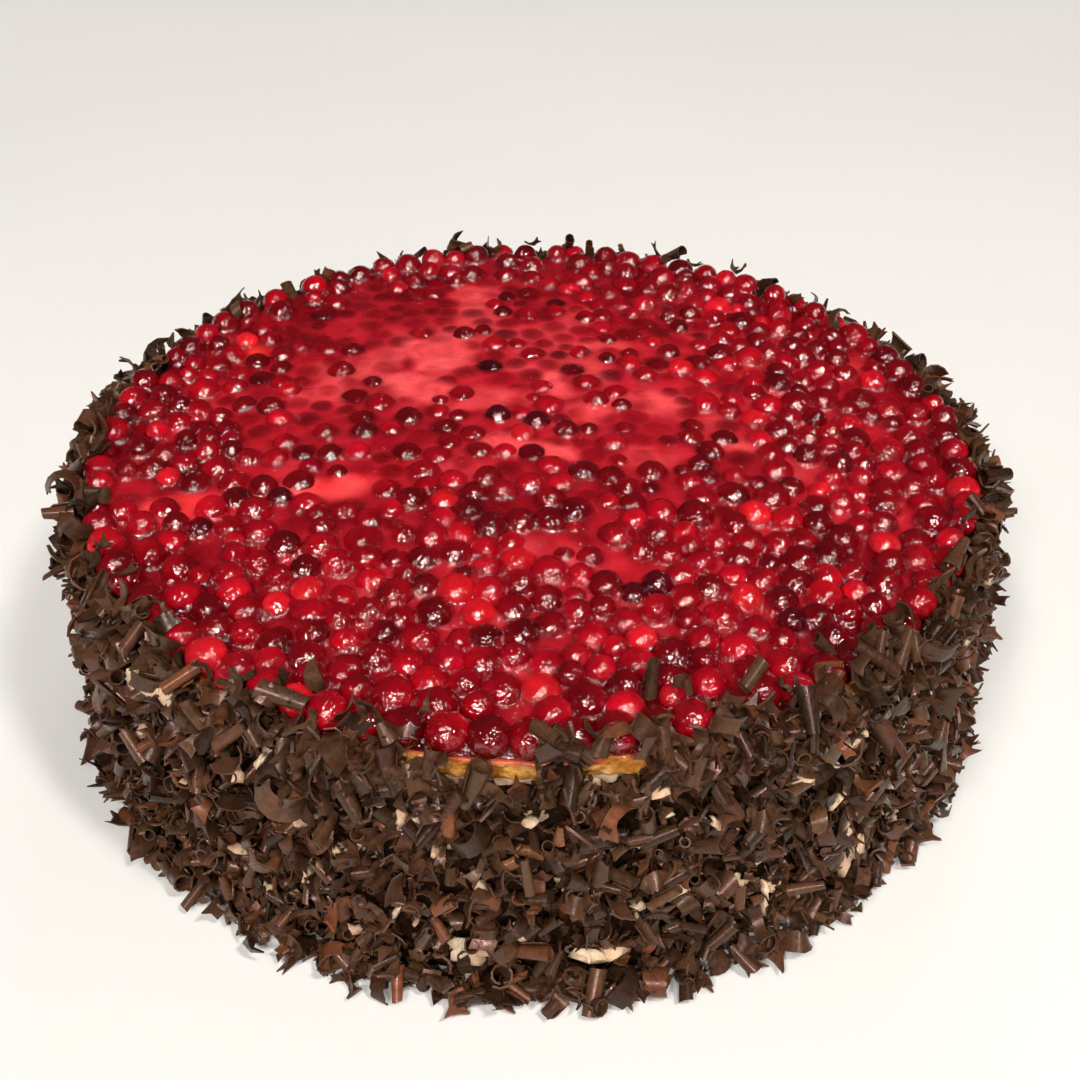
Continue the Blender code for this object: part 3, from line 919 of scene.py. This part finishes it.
def sponge_disc():
    def shape(g):
        flat = g.reshape(-1, 3)
        r = np.hypot(flat[:, 0], flat[:, 1])
        on_side = smooth(r, SPONGE_R - 0.003, SPONGE_R - 0.0005)
        a = np.arctan2(flat[:, 1], flat[:, 0])
        ragged = 0.0012 * fractal(flat, 0.006, 21) + 0.0005 * noise3(flat, 0.0016, 23)
        drip = 0.0005 * noise3(np.stack([a * 0.12, 0 * a, flat[:, 2] * 0.25], -1), 0.003, 25)
        off = ((ragged + drip - 0.0002) * on_side)[:, None] * np.stack([flat[:, 0] / r, flat[:, 1] / r, 0 * r], 1)
        return (flat + off).reshape(g.shape)

    def colour(v):
        z = (v[:, 2] - SPONGE_Z0) / (SPONGE_Z1 - SPONGE_Z0)
        a = np.arctan2(v[:, 1], v[:, 0])
        patchy = fractal(v, 0.010, 51)
        gold = np.array([0.74, 0.43, 0.09])
        amber = np.array([0.52, 0.17, 0.025])
        pale = np.array([0.78, 0.54, 0.24])
        stain = np.array([0.42, 0.03, 0.02])
        t = np.clip(0.5 + 0.8 * patchy, 0, 1)[:, None]
        c = gold * (1 - t) + amber * t
        q = np.clip(noise3(v, 0.005, 53), 0, 1)[:, None]
        c = c * (1 - 0.6 * q) + pale * 0.6 * q
        soak = (smooth(z + 0.25 * noise3(np.stack([a * 0.12, 0 * a, 0 * a], -1), 0.005, 55), 0.70, 1.0) * 0.9)[:, None]
        return c * (1 - soak) + stain * soak

    rows = side_rows(SPONGE_R, SPONGE_Z1, SPONGE_Z0, 0.0012, 8)
    profile = [(0, SPONGE_Z1), (SPONGE_R * 0.6, SPONGE_Z1)] + rows + [(0, SPONGE_Z0)]
    return lumpy_turned("sponge", profile, 500, shape, colour)


def crumb_and_shade_ring():
    """Fine broken chocolate pressed into the cream, behind the curls; its material paints it darker than the curls, as
    painted shade in the gaps between them.
    """
    inner, high = BODY_R + 0.0003, 0.0640
    rows = 32
    around = 340
    a = np.arange(around) * TAU / around
    zs = np.linspace(high, 0.0004, rows)
    grid = np.stack(
        [np.cos(a)[None].repeat(rows, 0), np.sin(a)[None].repeat(rows, 0), np.repeat(zs[:, None], around, 1)], -1
    )
    place = grid * [BODY_R, BODY_R, 1]
    coarse = np.abs(noise3(place, 0.0042, 61)) + 0.8 * np.abs(noise3(place, 0.0023, 62))
    ragged = 0.0018 * noise3(place * [1, 1, 0], 0.005, 63)
    r = BODY_R + 0.0006 + 0.0017 * coarse - 0.0036 * bare_mask(place, 1.40)
    r = np.maximum(r, inner - 0.002)
    outer = np.stack([grid[..., 0] * r, grid[..., 1] * r, grid[..., 2]], -1)
    outer[0, :, 2] += ragged[0]
    outer[1, :, 2] += 0.6 * ragged[1]
    back_r = BODY_R - 0.004
    back = np.stack([back_r * np.cos(a), back_r * np.sin(a)], 1)
    top_back = np.concatenate([back, np.full((around, 1), high - 0.004)], 1)
    low_back = np.concatenate([back, np.full((around, 1), 0.0004)], 1)
    verts = np.concatenate([top_back, outer.reshape(-1, 3), low_back])
    i = np.arange(around)
    nxt = (i + 1) % around
    quads = []
    for j in range(rows + 1):
        a0, a1 = j * around + i, j * around + nxt
        quads.append(np.stack([a0, a0 + around, a1 + around, a1], 1))
    a0, a1 = (rows + 1) * around + i, (rows + 1) * around + nxt
    quads.append(np.stack([a0, i, nxt, a1], 1))
    return make_mesh("chocolate_crumb", verts, [np.concatenate(quads)])


# ------------------------------------------------------------------ chocolate curls
def strip_faces(nu, nv):
    """Faces of a closed strip of chocolate: nu points across, nv along, an upper skin, a lower skin and the cut edge."""
    top, n = [], nu * nv
    for j in range(nv - 1):
        for i in range(nu - 1):
            a = j * nu + i
            top.append((a, a + 1, a + nu + 1, a + nu))
    low = [(f[0] + n, f[3] + n, f[2] + n, f[1] + n) for f in top]
    ring = [i for i in range(nu)]
    ring += [j * nu + nu - 1 for j in range(1, nv)]
    ring += [(nv - 1) * nu + i for i in range(nu - 2, -1, -1)]
    ring += [j * nu for j in range(nv - 2, 0, -1)]
    cut = []
    for k in range(len(ring)):
        a, b = ring[k], ring[(k + 1) % len(ring)]
        cut.append((a, a + n, b + n, b))
    return np.array(top + low + cut)


def strips(kind, count, rng):
    """Local shapes of count pieces of one kind: vertices (count, points, 3), faces and each point's place on its strip."""
    if kind == "roll":
        nu, nv = 2, 12
    elif kind == "shard":
        nu, nv = 4, 5
    elif kind == "flake":
        nu, nv = 2, 3
    else:
        nu, nv = 3, 8
    u = np.linspace(-1, 1, nu)[None, None, :]
    v = np.linspace(0, 1, nv)[None, :, None]
    one = np.ones((count, nv, nu))

    def draw(low, high):
        return rng.uniform(low, high, (count, 1, 1))

    if kind == "roll":
        turn = draw(1.15, 2.5) * math.pi
        r0 = draw(0.00075, 0.00115)
        growth = draw(0.00038, 0.00062) / TAU
        length = draw(0.0040, 0.0082)
        cone = draw(-0.42, 0.42)
        angle = v * turn * one
        end = 1 - draw(0.1, 0.75) * smooth(v, draw(0.55, 0.8), 1.0)
        skew = draw(-0.25, 0.25) * (v - 0.5)
        across = u * 0.5 * length * end * one + skew * length
        radius = (r0 + growth * angle) * (1 + cone * across / length * 2)
        x = across
        y = radius * np.cos(angle)
        z = radius * np.sin(angle)
        ny, nz = np.cos(angle), np.sin(angle)
        normal = np.stack([0 * one, ny * one, nz * one], -1)
        thick = draw(0.00022, 0.00036)
        along = angle * radius
    elif kind == "flake":
        bend = draw(0.0012, 0.0040)
        wide = draw(0.0014, 0.0036)
        long = draw(0.0020, 0.0046)
        point = draw(0.02, 0.80)
        half = 0.5 * wide * (1 + (point - 1) * v) * (1 - draw(0.0, 0.55) * 4 * v * (1 - v)) * one
        angle = (v - 0.5) * long / bend * one
        x = u * half + draw(-0.4, 0.4) * wide * (v - 0.5) + rng.normal(0, 0.00020, (count, nv, nu))
        y = bend * np.sin(angle)
        z = bend - bend * np.cos(angle)
        normal = np.stack([0 * one, -np.sin(angle), np.cos(angle)], -1)
        thick = draw(0.00024, 0.00050)
        along = (v * long) * one
    elif kind == "shard":
        bend = draw(0.0017, 0.0048)
        wide = draw(0.0034, 0.0074)
        long = draw(0.0042, 0.0090)
        point = draw(0.02, 0.60)
        other = draw(0.45, 1.0)
        # the corners are drawn out, and the edges between them are hollow
        half = 0.5 * wide * (other + (point - other) * v) * (1 - draw(0.15, 0.60) * 4 * v * (1 - v))
        v = v + draw(0.06, 0.26) * (np.abs(u) ** 1.5 - 0.4) * np.sign(v - 0.5) * (np.abs(2 * v - 1) > 0.7)
        twist = draw(-0.5, 0.5) * (v - 0.5)
        across = u * half + draw(-0.3, 0.3) * wide * (v - 0.5) ** 2 * one
        angle = (v - 0.5) * long / bend + across * twist / bend
        jag = rng.normal(0, 0.00022, (count, nv, nu))
        x = across + jag
        radius = bend * (1 + draw(-0.25, 0.25) * across / wide)
        y = radius * np.sin(angle)
        z = bend - radius * np.cos(angle)
        ny, nz = np.sin(angle), -np.cos(angle)
        normal = np.stack([0 * one, -ny * one, -nz * one], -1)
        thick = draw(0.00036, 0.00062)
        along = (v * long) * one
    else:
        turn = draw(0.55, 1.25) * math.pi
        bend = draw(0.0014, 0.0030)
        wide = draw(0.0022, 0.0046)
        drift = draw(-0.0026, 0.0026)
        taper = draw(-0.5, 0.9)
        opening = draw(-0.25, 0.6)
        angle = v * turn * one + draw(0.0, 0.30) * np.abs(u) * (2 * v - 1) ** 3
        half = 0.5 * wide * (1 - taper * np.abs(2 * v - 1) ** 1.6)
        radius = bend * (1 + opening * v) * (1 + draw(-0.35, 0.35) * u * one)
        jag = rng.normal(0, 0.00012, (count, nv, nu))
        x = u * half + drift * v * one + jag
        y = radius * np.cos(angle)
        z = radius * np.sin(angle)
        normal = np.stack([0 * one, np.cos(angle) * one, np.sin(angle) * one], -1)
        thick = draw(0.00026, 0.00042)
        along = angle * radius
    shape = np.stack([x * one, y * one, z * one], -1)
    shape -= shape.mean((1, 2), keepdims=True)
    edge = 0.5 * thick[..., None]
    upper, lower = shape + normal * edge, shape - normal * edge
    verts = np.concatenate([upper.reshape(count, -1, 3), lower.reshape(count, -1, 3)], 1)
    place = np.stack([(x * one).reshape(count, -1), (along * one).reshape(count, -1)], -1)
    place = np.concatenate([place, place + 0.01], 1)
    return verts, strip_faces(nu, nv), place


def coat_radius(z):
    """Mean radius of the curls' outline at a height."""
    middle = 0.5 * COAT_TOP
    low = 0.1276 - 0.0008 * (1 - z / middle) ** 2
    share = np.clip((z - middle) / (COAT_TOP - middle), 0, 1.3)
    return np.where(z < middle, low, 0.1276 - 0.0040 * share**2.2)


def facing_turns(rng, out, tangent, up, lean, count):
    """Rotations that lay a strip's flat side towards out, spun at random about it and then leaned by up to lean."""
    spin = rng.uniform(0, TAU, count)
    c, s = np.cos(spin)[:, None], np.sin(spin)[:, None]
    a = tangent * c + up * s
    b = -tangent * s + up * c
    tilt = rng.normal(0, 1, count)[:, None] * lean[:, None]
    c, s = np.cos(tilt), np.sin(tilt)
    b2 = b * c + out * s
    n2 = -b * s + out * c
    roll = rng.normal(0, 1, count)[:, None] * lean[:, None]
    c, s = np.cos(roll), np.sin(roll)
    a3 = a * c + n2 * s
    n3 = -a * s + n2 * c
    return np.stack([a3, b2, n3], -1)


# Where curls lie over the rim's berries: angle from the front (degrees, to the right), half-width (degrees), strength
CRESTS = [
    (-27, 5, 1.0), (-17, 4, 0.9), (1, 4, 0.9), (14, 6, 1.0), (27, 7, 1.0), (42, 6, 1.0), (56, 6, 0.7), (74, 7, 0.9),
    (92, 8, 0.9), (-47, 6, 0.6), (-68, 8, 0.9), (-88, 8, 0.8), (112, 8, 0.7), (131, 7, 0.8), (150, 5, 0.5), (171, 6, 0.7),
    (-160, 6, 0.8), (-142, 8, 1.0), (-124, 8, 0.9), (-106, 7, 0.7),
]


def crest_mask(phi):
    out = np.zeros(np.shape(phi))
    for c, w, strength in CRESTS:
        turn = np.abs((phi - c + 180) % 360 - 180)
        out = np.maximum(out, strength * (1 - smooth(turn / w, 0.5, 1.3)))
    return out


def rim_berries():
    """Middles and radii of the berries that the rim's pieces can meet."""
    near = (np.hypot(bx, by) > 0.098) & (brise > 0)
    return np.stack([bx, by, jelly_level(bx, by) + brise - bsize], 1)[near], bsize[near]


def worst_cuts(world):
    """How far the worst vertex of each piece is inside a berry, which vertex that is and which berry."""
    balls, size = rim_berries()
    depth, worst = [], []
    for some in np.array_split(world, len(world) // 150 + 1):
        into = size + 0.00015 - np.linalg.norm(some[:, :, None, :] - balls, axis=3)
        into = into.reshape(len(some), world.shape[1] * len(balls))
        depth.append(into.max(1))
        worst.append(into.argmax(1))
    vertex, ball = np.divmod(np.concatenate(worst), len(balls))
    return np.concatenate(depth), vertex, ball


def clear_of_berries(world, top=np.inf, rounds=14):
    """Pieces moved off the rim's berries that they would cut into, sideways where they reach the height top."""
    balls, _ = rim_berries()
    mine = np.arange(len(world))
    for _ in range(rounds):
        depth, vertex, ball = worst_cuts(world)
        away = world[mine, vertex] - balls[ball] + 0.8 * (world.mean(1) - balls[ball]) + [0, 0, 0.002]
        away[world[..., 2].max(1) > top - 0.00001, 2] = 0
        away /= np.linalg.norm(away, axis=1)[:, None]
        world = world + (away * (1.15 * np.clip(depth, 0, None)[:, None]))[:, None, :]
        world[..., 2] -= np.clip(world[..., 2].max(1) - top, 0, None)[:, None]
    return world


def over_window(world):
    """Which pieces would hide the sponge that shows at the front, as it is looked down on."""
    r = np.hypot(world[..., 0], world[..., 1])
    turn = np.degrees(np.arctan2(world[..., 0], -world[..., 1]))
    level = world[..., 2] - 0.95 * (r - 0.1195)
    edge = 0.0008 * noise3(np.stack([turn * 0.002, 0 * turn, 0 * turn], -1), 0.004, 93)
    low = np.where(turn > 4.0, 0.0655, 0.0664) + edge
    inside = (turn > -8.5) & (turn < 11.0) & (level > low) & (level < 0.0705) & (r > 0.1185)
    # a few stay, and those between the two halves of the window
    few = (np.arange(len(world)) * 0.6180339887) % 1
    crossing = inside.any(1)
    middle = np.abs(turn.mean(1) - 3.2) < 1.8
    return crossing & (few > np.where(middle, 0.75, 0.14))


def chocolate(kind, count, seed):
    """One kind of chocolate piece, scattered over the side, round the foot and along the top edge."""
    rng = np.random.default_rng(SEED * 100 + seed)
    draws = int(count * 1.6)
    # 0 against the cream, 1 over those, 2 along the top edge, 3 round the foot, 4 over the rim's berries
    share = [0.72, 0.0, 0.18, 0.10, 0.0] if kind == "flake" else [0.35, 0.31, 0.195, 0.08, 0.065]
    layer = rng.choice(5, draws, p=share)
    # even cover round the cake: a low-discrepancy walk in angle and height
    k = np.arange(draws)
    angle = TAU * ((k * 0.7548776662 + rng.uniform(-0.004, 0.004, draws) + 0.13 * seed) % 1)
    height = (k * 0.5698402910 + 0.37 * seed + rng.uniform(-0.01, 0.01, draws)) % 1
    phi = np.degrees(np.arctan2(np.cos(angle), -np.sin(angle)))
    z = 0.0022 + height**1.10 * (0.0680 - 0.0022)
    z = np.where(layer == 2, 0.0640 + (0.0098 - 0.0030 * smooth(np.abs(phi), 100, 135)) * height, z)
    z = np.where(layer == 3, 0.0008 + 0.0045 * height, z)
    z = np.where(layer == 4, 0.0735 + 0.0052 * height, z)
    surface = coat_radius(z)
    depth = np.where(layer == 0, -0.0052 + 0.0020 * rng.random(draws), -0.0026 + 0.0040 * rng.random(draws))
    depth = np.where(layer == 2, -0.0022 + 0.0026 * rng.random(draws), depth)
    if kind == "flake":
        depth = np.where(layer == 0, -0.0062 + 0.0030 * rng.random(draws), depth - 0.0012)
    depth = np.where(layer == 3, -0.0010 + 0.0016 * rng.random(draws) + 0.0050 * rng.random(draws) ** 2, depth)
    lump = 0.0010 * noise3(np.stack([surface * np.cos(angle), surface * np.sin(angle), z], -1), 0.012, 71)
    r = surface + depth + lump
    r = np.where(layer == 4, 0.1216 - 0.0060 * rng.random(draws) ** 1.3, r)
    out = np.stack([np.cos(angle), np.sin(angle), 0 * angle], -1)
    tangent = np.stack([-np.sin(angle), np.cos(angle), 0 * angle], -1)
    up = np.tile([0.0, 0.0, 1.0], (draws, 1))
    # those over the berries lie on them: lower towards the edge
    z = np.where(layer == 4, z - 0.55 * np.clip(r - 0.1165, 0, None), z)
    centre = out * r[:, None] + up * z[:, None]
    lean = np.select([layer == 0, layer == 1, layer == 2, layer == 4], [0.60, 1.10, 0.85, 0.55], 0.6)
    lean = lean + (0.35 if kind == "flake" else 0.0)
    # at the foot the pieces lie on the floor, and over the berries on those, so their flat side faces more upward
    face = np.select([(layer == 3)[:, None], (layer == 2)[:, None], (layer == 4)[:, None]], [0.45 * out + 0.9 * up, out + 0.35 * up, 0.8 * out + 0.8 * up], out)
    face /= np.linalg.norm(face, axis=1)[:, None]
    upward = np.cross(face, tangent)
    turns = facing_turns(rng, face, tangent, upward, lean, draws)
    # a place is bare when nothing lies over it, nor in front of it as it is looked down on
    steep = 1.28 - 0.28 * smooth(z, 0.020, 0.066)
    seen = np.stack([0.1215 * np.cos(angle), 0.1215 * np.sin(angle), z - steep * (r - 0.1215)], -1)
    bare = np.maximum(bare_mask(centre, 1.0), bare_mask(seen, 1.0))
    amber = (z > 0.0605) & (z < 0.0780) & (bare > 0.3)
    keep = (rng.random(draws) > 1.0 * bare) & ~amber
    behind = 1 - 0.75 * smooth(np.abs(phi), 95, 130)
    keep &= (layer != 4) | (rng.random(draws) < (0.12 + 0.88 * crest_mask(phi)) * behind)
    keep &= np.cumsum(keep) <= count
    pick = np.where(keep)[0]
    local, faces, place = strips(kind, len(pick), rng)
    size = rng.uniform(0.90, 1.40, (len(pick), 1, 1))
    size *= np.where(layer[pick] >= 2, 1.05, 0.86 + 0.26 * smooth(z[pick], 0.020, 0.066))[:, None, None]
    world = np.einsum("nij,nvj->nvi", turns[pick], local * size) + centre[pick, None, :]
    on_top = layer[pick] == 4
    if on_top.any():
        world[on_top] = clear_of_berries(world[on_top])
    over = over_window(world)
    world, pick = world[~over], pick[~over]
    place = place[~over]
    reach = np.hypot(world[..., 0], world[..., 1]).max(1)
    world -= (out[pick] * np.clip(reach - 0.1362, 0, None)[:, None])[:, None, :]
    # nothing goes below the floor, or into the sponge and the berries' bed behind the coat
    lowest = world[..., 2].min(1)
    world[..., 2] += np.clip(0.0001 - lowest, 0, None)[:, None]
    highest = world[..., 2].max(1)
    # and the far rim's pieces keep low, between the berries
    top = 0.0815 - 0.0030 * smooth(np.abs(phi[pick]), 95, 125)
    world[..., 2] -= np.clip(highest - top, 0, None)[:, None]
    inward = np.hypot(world[..., 0], world[..., 1]).min(1)
    limit = np.select([layer[pick] == 2, layer[pick] == 4], [BODY_R - 0.0022, 0.1085], BODY_R - 0.0008)
    slack = np.clip(limit - inward, 0, 0.004)
    world += (out[pick] * slack[:, None])[:, None, :]
    # what still cuts into a berry slides off it, and is left out where the berries leave it no room
    high = np.where(world[..., 2].max(1) > 0.064)[0]
    cutting = high[worst_cuts(world[high])[0] > 0.0003]
    world[cutting] = clear_of_berries(world[cutting], top[cutting], 40)
    fits = np.ones(len(world), bool)
    fits[cutting] = worst_cuts(world[cutting])[0] < 0.0004
    # a random tone for each piece; those along the top edge and over the berries are painted darker (x0.84), painted
    # shade against the stronger light from above
    shade = rng.uniform(0.42, 1.62, (len(pick), 1)) * np.where(np.isin(layer[pick], (2, 4)), 0.84, 1.0)[:, None]
    warm = rng.random((len(pick), 1)) < 0.13
    cool = np.array([0.0610, 0.0272, 0.0138])
    russet = np.array([0.106, 0.0365, 0.0160])
    tone = np.where(warm, russet, cool) * shade * rng.uniform(0.94, 1.06, (len(pick), 3))
    tint = np.repeat(tone[:, None, :], world.shape[1], 1)
    world, place, tint = world[fits], place[fits], tint[fits]
    if kind != "flake":
        large, _, large_place = crest_curls(kind, seed)
        large = clear_of_berries(large)
        highest = large[..., 2].max(1)
        large[..., 2] -= np.clip(highest - 0.0822, 0, None)[:, None]
        large = clear_of_berries(large, np.full(len(large), 0.0822), 40)
        world, place = np.concatenate([world, large]), np.concatenate([place, large_place])
        shades = cool * rng.uniform(0.75, 1.35, (len(large), 1)) * rng.uniform(0.94, 1.06, (len(large), 3))
        tint = np.concatenate([tint, np.repeat(shades[:, None, :], world.shape[1], 1)])
    offset = rng.uniform(0, 1, (len(world), 1, 3))
    grain = np.concatenate([place, np.zeros((*place.shape[:2], 1))], -1) + offset
    n = world.shape[1]
    all_faces = (faces[None] + (np.arange(len(world)) * n)[:, None, None]).reshape(-1, 4)
    obj = make_mesh("chocolate_" + kind + "s", world.reshape(-1, 3), [all_faces], tint.reshape(-1, 3), grain.reshape(-1, 3))
    obj.data.set_sharp_from_angle(angle=math.radians(50))
    return obj


# Large curls that stand over the rim's berries at the front: kind, angle (degrees, to the right), radius (mm), height
# (mm), size, lean to the right (degrees)
FRONT_CURLS = [
    ("shard", -17.3, 118.0, 77.0, 1.15, 20), ("roll", -13.8, 120.0, 76.5, 1.10, -35), ("shard", -11.0, 113.5, 78.6, 1.05, 5),
    ("twist", 2.2, 115.5, 78.2, 1.55, 60), ("roll", 3.9, 120.4, 76.0, 1.35, -50), ("roll", 7.2, 120.6, 76.6, 1.25, 25),
    ("twist", 10.0, 119.0, 76.6, 1.25, 30), ("shard", 13.2, 116.8, 77.6, 1.55, -8), ("roll", 13.0, 114.0, 79.0, 1.10, 10),
    ("twist", 17.0, 110.5, 79.4, 0.90, 0), ("shard", 20.0, 118.5, 76.8, 1.20, 35), ("roll", 24.5, 113.0, 78.6, 1.25, 55),
    ("shard", 27.0, 117.0, 77.0, 1.20, -20), ("roll", 34.6, 113.8, 78.4, 1.20, -40), ("shard", 31.0, 119.0, 76.6, 1.15, 15),
    ("roll", -5.5, 124.4, 68.5, 1.40, 20), ("roll", -9.5, 123.5, 72.5, 1.15, 5), ("twist", 1.5, 125.5, 67.5, 1.00, 0),
    ("roll", -48.3, 117.0, 77.4, 1.20, 30), ("shard", -51.5, 119.5, 76.6, 1.20, -10), ("shard", -22.0, 121.0, 75.8, 1.25, 0),
    ("twist", -26.5, 119.0, 76.8, 1.10, 20), ("roll", 40.5, 118.0, 77.0, 1.10, 10), ("twist", 46.0, 117.5, 77.4, 1.10, -30),
    ("shard", -60.0, 118.5, 76.8, 1.15, 12), ("shard", -35.0, 121.0, 75.6, 1.10, -15), ("shard", 53.0, 118.5, 77.0, 1.20, 20),
]


def crest_curls(kind, seed):
    """The large curls at the front of the rim, and others like them round the rest of it."""
    rng = np.random.default_rng(SEED * 200 + seed)
    spots = [f[1:] for f in FRONT_CURLS if f[0] == kind]
    for _ in range(9):
        phi = rng.uniform(66, 300)
        r = rng.uniform(113.5, 121.0)
        spots.append((phi, r, 75.2 + 0.36 * (121.0 - r), rng.uniform(0.9, 1.2), rng.uniform(-75, 75)))
    phi, r, z, size, lean = np.array(spots).T
    phi, lean = np.radians(phi), np.radians(lean)
    out = np.stack([np.sin(phi), -np.cos(phi), 0 * phi], -1)
    right = np.stack([np.cos(phi), np.sin(phi), 0 * phi], -1)
    up = np.tile([0.0, 0.0, 1.0], (len(phi), 1))
    # each leans back onto the berries
    back = rng.uniform(0.25, 0.75, len(phi))[:, None]
    rising = up * np.cos(back) - out * np.sin(back)
    facing = np.cross(right, rising)
    long_axis = rising * np.cos(lean)[:, None] + right * np.sin(lean)[:, None]
    wide_axis = np.cross(long_axis, facing)
    # a roll's length is its local x, and the other kinds' is their local y
    turns = np.stack([long_axis, -wide_axis, facing] if kind == "roll" else [wide_axis, long_axis, facing], -1)
    if kind == "twist":
        turns = np.stack([long_axis, facing, wide_axis], -1)
    local, faces, place = strips(kind, len(phi), rng)
    world = np.einsum("nij,nvj->nvi", turns, local * size[:, None, None])
    world += (out * r[:, None] + up * z[:, None])[:, None] / 1000
    return world, faces, place


# ------------------------------------------------------------------ floor and light
def studio():
    scene = bpy.context.scene
    scene.view_settings.view_transform = "Standard"
    scene.view_settings.look = "None"
    world = bpy.data.worlds.new("studio")
    scene.world = world
    world.use_nodes = True
    tree = world.node_tree
    fill = tree.nodes["Background"]
    fill.inputs["Color"].default_value = (1.0, 0.98, 0.95, 1.0)
    fill.inputs["Strength"].default_value = 0.16
    # the backdrop is pale where it is seen, and dark where it would only haze the wet berries
    backdrop = tree.nodes.new("ShaderNodeBackground")
    backdrop.inputs["Color"].default_value = (0.93, 0.925, 0.915, 1.0)
    backdrop.inputs["Strength"].default_value = 0.9
    flag = tree.nodes.new("ShaderNodeBackground")
    flag.inputs["Color"].default_value = (1.0, 0.98, 0.95, 1.0)
    flag.inputs["Strength"].default_value = 0.035
    seen = tree.nodes.new("ShaderNodeLightPath")
    dim = tree.nodes.new("ShaderNodeMixShader")
    tree.links.new(seen.outputs["Is Glossy Ray"], dim.inputs["Fac"])
    tree.links.new(fill.outputs[0], dim.inputs[1])
    tree.links.new(flag.outputs[0], dim.inputs[2])
    mix = tree.nodes.new("ShaderNodeMixShader")
    tree.links.new(seen.outputs["Is Camera Ray"], mix.inputs["Fac"])
    tree.links.new(dim.outputs[0], mix.inputs[1])
    tree.links.new(backdrop.outputs[0], mix.inputs[2])
    tree.links.new(mix.outputs[0], tree.nodes["World Output"].inputs["Surface"])

    mesh = bpy.data.meshes.new("floor")
    s = 4.0
    mesh.from_pydata([(-s, -s, 0), (s, -s, 0), (s, s, 0), (-s, s, 0)], [], [(0, 1, 2, 3)])
    floor = bpy.data.objects.new("floor", mesh)
    scene.collection.objects.link(floor)
    m = Nodes("floor")
    m.link(
        m.ramp(m.noise(m.position(), 3, 2), [(0.3, (0.70, 0.695, 0.685)), (0.7, (0.725, 0.72, 0.71))]),
        m.shader.inputs["Base Color"],
    )
    m.set(Roughness=0.85, Specular_IOR_Level=0.0)
    mesh.materials.append(m.material)

    def softbox(name, place, target, size, power, colour):
        data = bpy.data.lights.new(name, "AREA")
        data.shape = "DISK"
        data.size = size
        data.energy = power
        data.color = colour
        lamp = bpy.data.objects.new(name, data)
        scene.collection.objects.link(lamp)
        lamp.location = place
        lamp.rotation_euler = (Vector(target) - Vector(place)).to_track_quat("-Z", "Y").to_euler()

    def sky_light(name, direction, strength, spread, colour, mirrored=True, lights=True):
        data = bpy.data.lights.new(name, "SUN")
        data.energy = strength
        data.angle = math.radians(spread)
        data.color = colour
        lamp = bpy.data.objects.new(name, data)
        scene.collection.objects.link(lamp)
        lamp.rotation_euler = Vector(direction).to_track_quat("Z", "Y").to_euler()
        lamp.visible_glossy = mirrored
        lamp.visible_diffuse = lights

    sky_light("key", (0.04, -0.74, 0.70), 1.40, 5, (1.0, 0.955, 0.90), mirrored=False)
    sky_light("left", (-0.45, -0.50, 1.0), 0.85, 8, (1.0, 0.955, 0.90), mirrored=False)
    sky_light("right", (0.50, -0.35, 1.0), 0.55, 8, (1.0, 0.955, 0.90), mirrored=False)
    sky_light("behind", (0.15, 0.80, 0.50), 0.60, 25, (1.0, 0.955, 0.90), mirrored=False)
    # the room's lamps, as the wet film mirrors them
    sky_light("bulb", (0.04, -0.74, 0.70), 1.40, 5, (1.0, 0.66, 0.62), lights=False)
    sky_light("mirrored", (-0.05, -0.74, 0.64), 2.9, 16, (1.0, 0.47, 0.45), lights=False)
    softbox("side", (0.40, -0.45, 0.95), (0, 0, 0.05), 0.12, 4.6, (1.0, 0.96, 0.90))
    softbox("front", (-0.30, -0.80, 0.70), (0, 0, 0.04), 0.12, 3.8, (1.0, 0.97, 0.93))


# ------------------------------------------------------------------ the cake
photo_camera()
studio()


def finish_piece(obj, material, slot, *nodes):
    obj.data.materials.clear()
    obj.data.materials.append(material)
    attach(obj, "root")
    if nodes:
        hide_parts(*nodes)
    return obj


cream = cream_material()
finish_piece(cream_core(), cream, "cream", "cake_body")
finish_piece(cream_flecks(), cream, "cream")
finish_piece(sponge_disc(), sponge_material(), "sponge", "sponge_layer")

bx, by, bsize, brise = berry_spots()
btone, bkind = berry_tones(bx, by, brise)
for obj, (name, glow) in zip(
    berries(bx, by, bsize, brise, btone, bkind),
    (("berry_dark", 0.20), ("berry_red", 0.30), ("berry_bright", 0.30)),
):
    finish_piece(obj, berry_material(name, glow), "berries")
finish_piece(jelly(bx, by, bsize, brise, btone), jelly_material(), "jelly", "berry_topping")
finish_piece(calyxes(bx, by, bsize, brise), stalk_material(), "stalk")

finish_piece(crumb_and_shade_ring(), crumb_and_shade_material(), "chocolate", "chocolate_coat")
for k, (kind, count) in enumerate((("roll", 1800), ("shard", 2300), ("twist", 1100), ("flake", 4000))):
    finish_piece(chocolate(kind, count, k + 1), chocolate_material("chocolate_" + kind), "chocolate")

total = 0
for obj in bpy.data.objects:
    if obj.type == "MESH" and not obj.hide_render:
        count = sum(len(p.vertices) - 2 for p in obj.data.polygons)
        total += count
        print("TRIS", obj.name, count)
print("TRIS total", total, "berries", len(bx), "shown", int((brise > 0.00015).sum()))
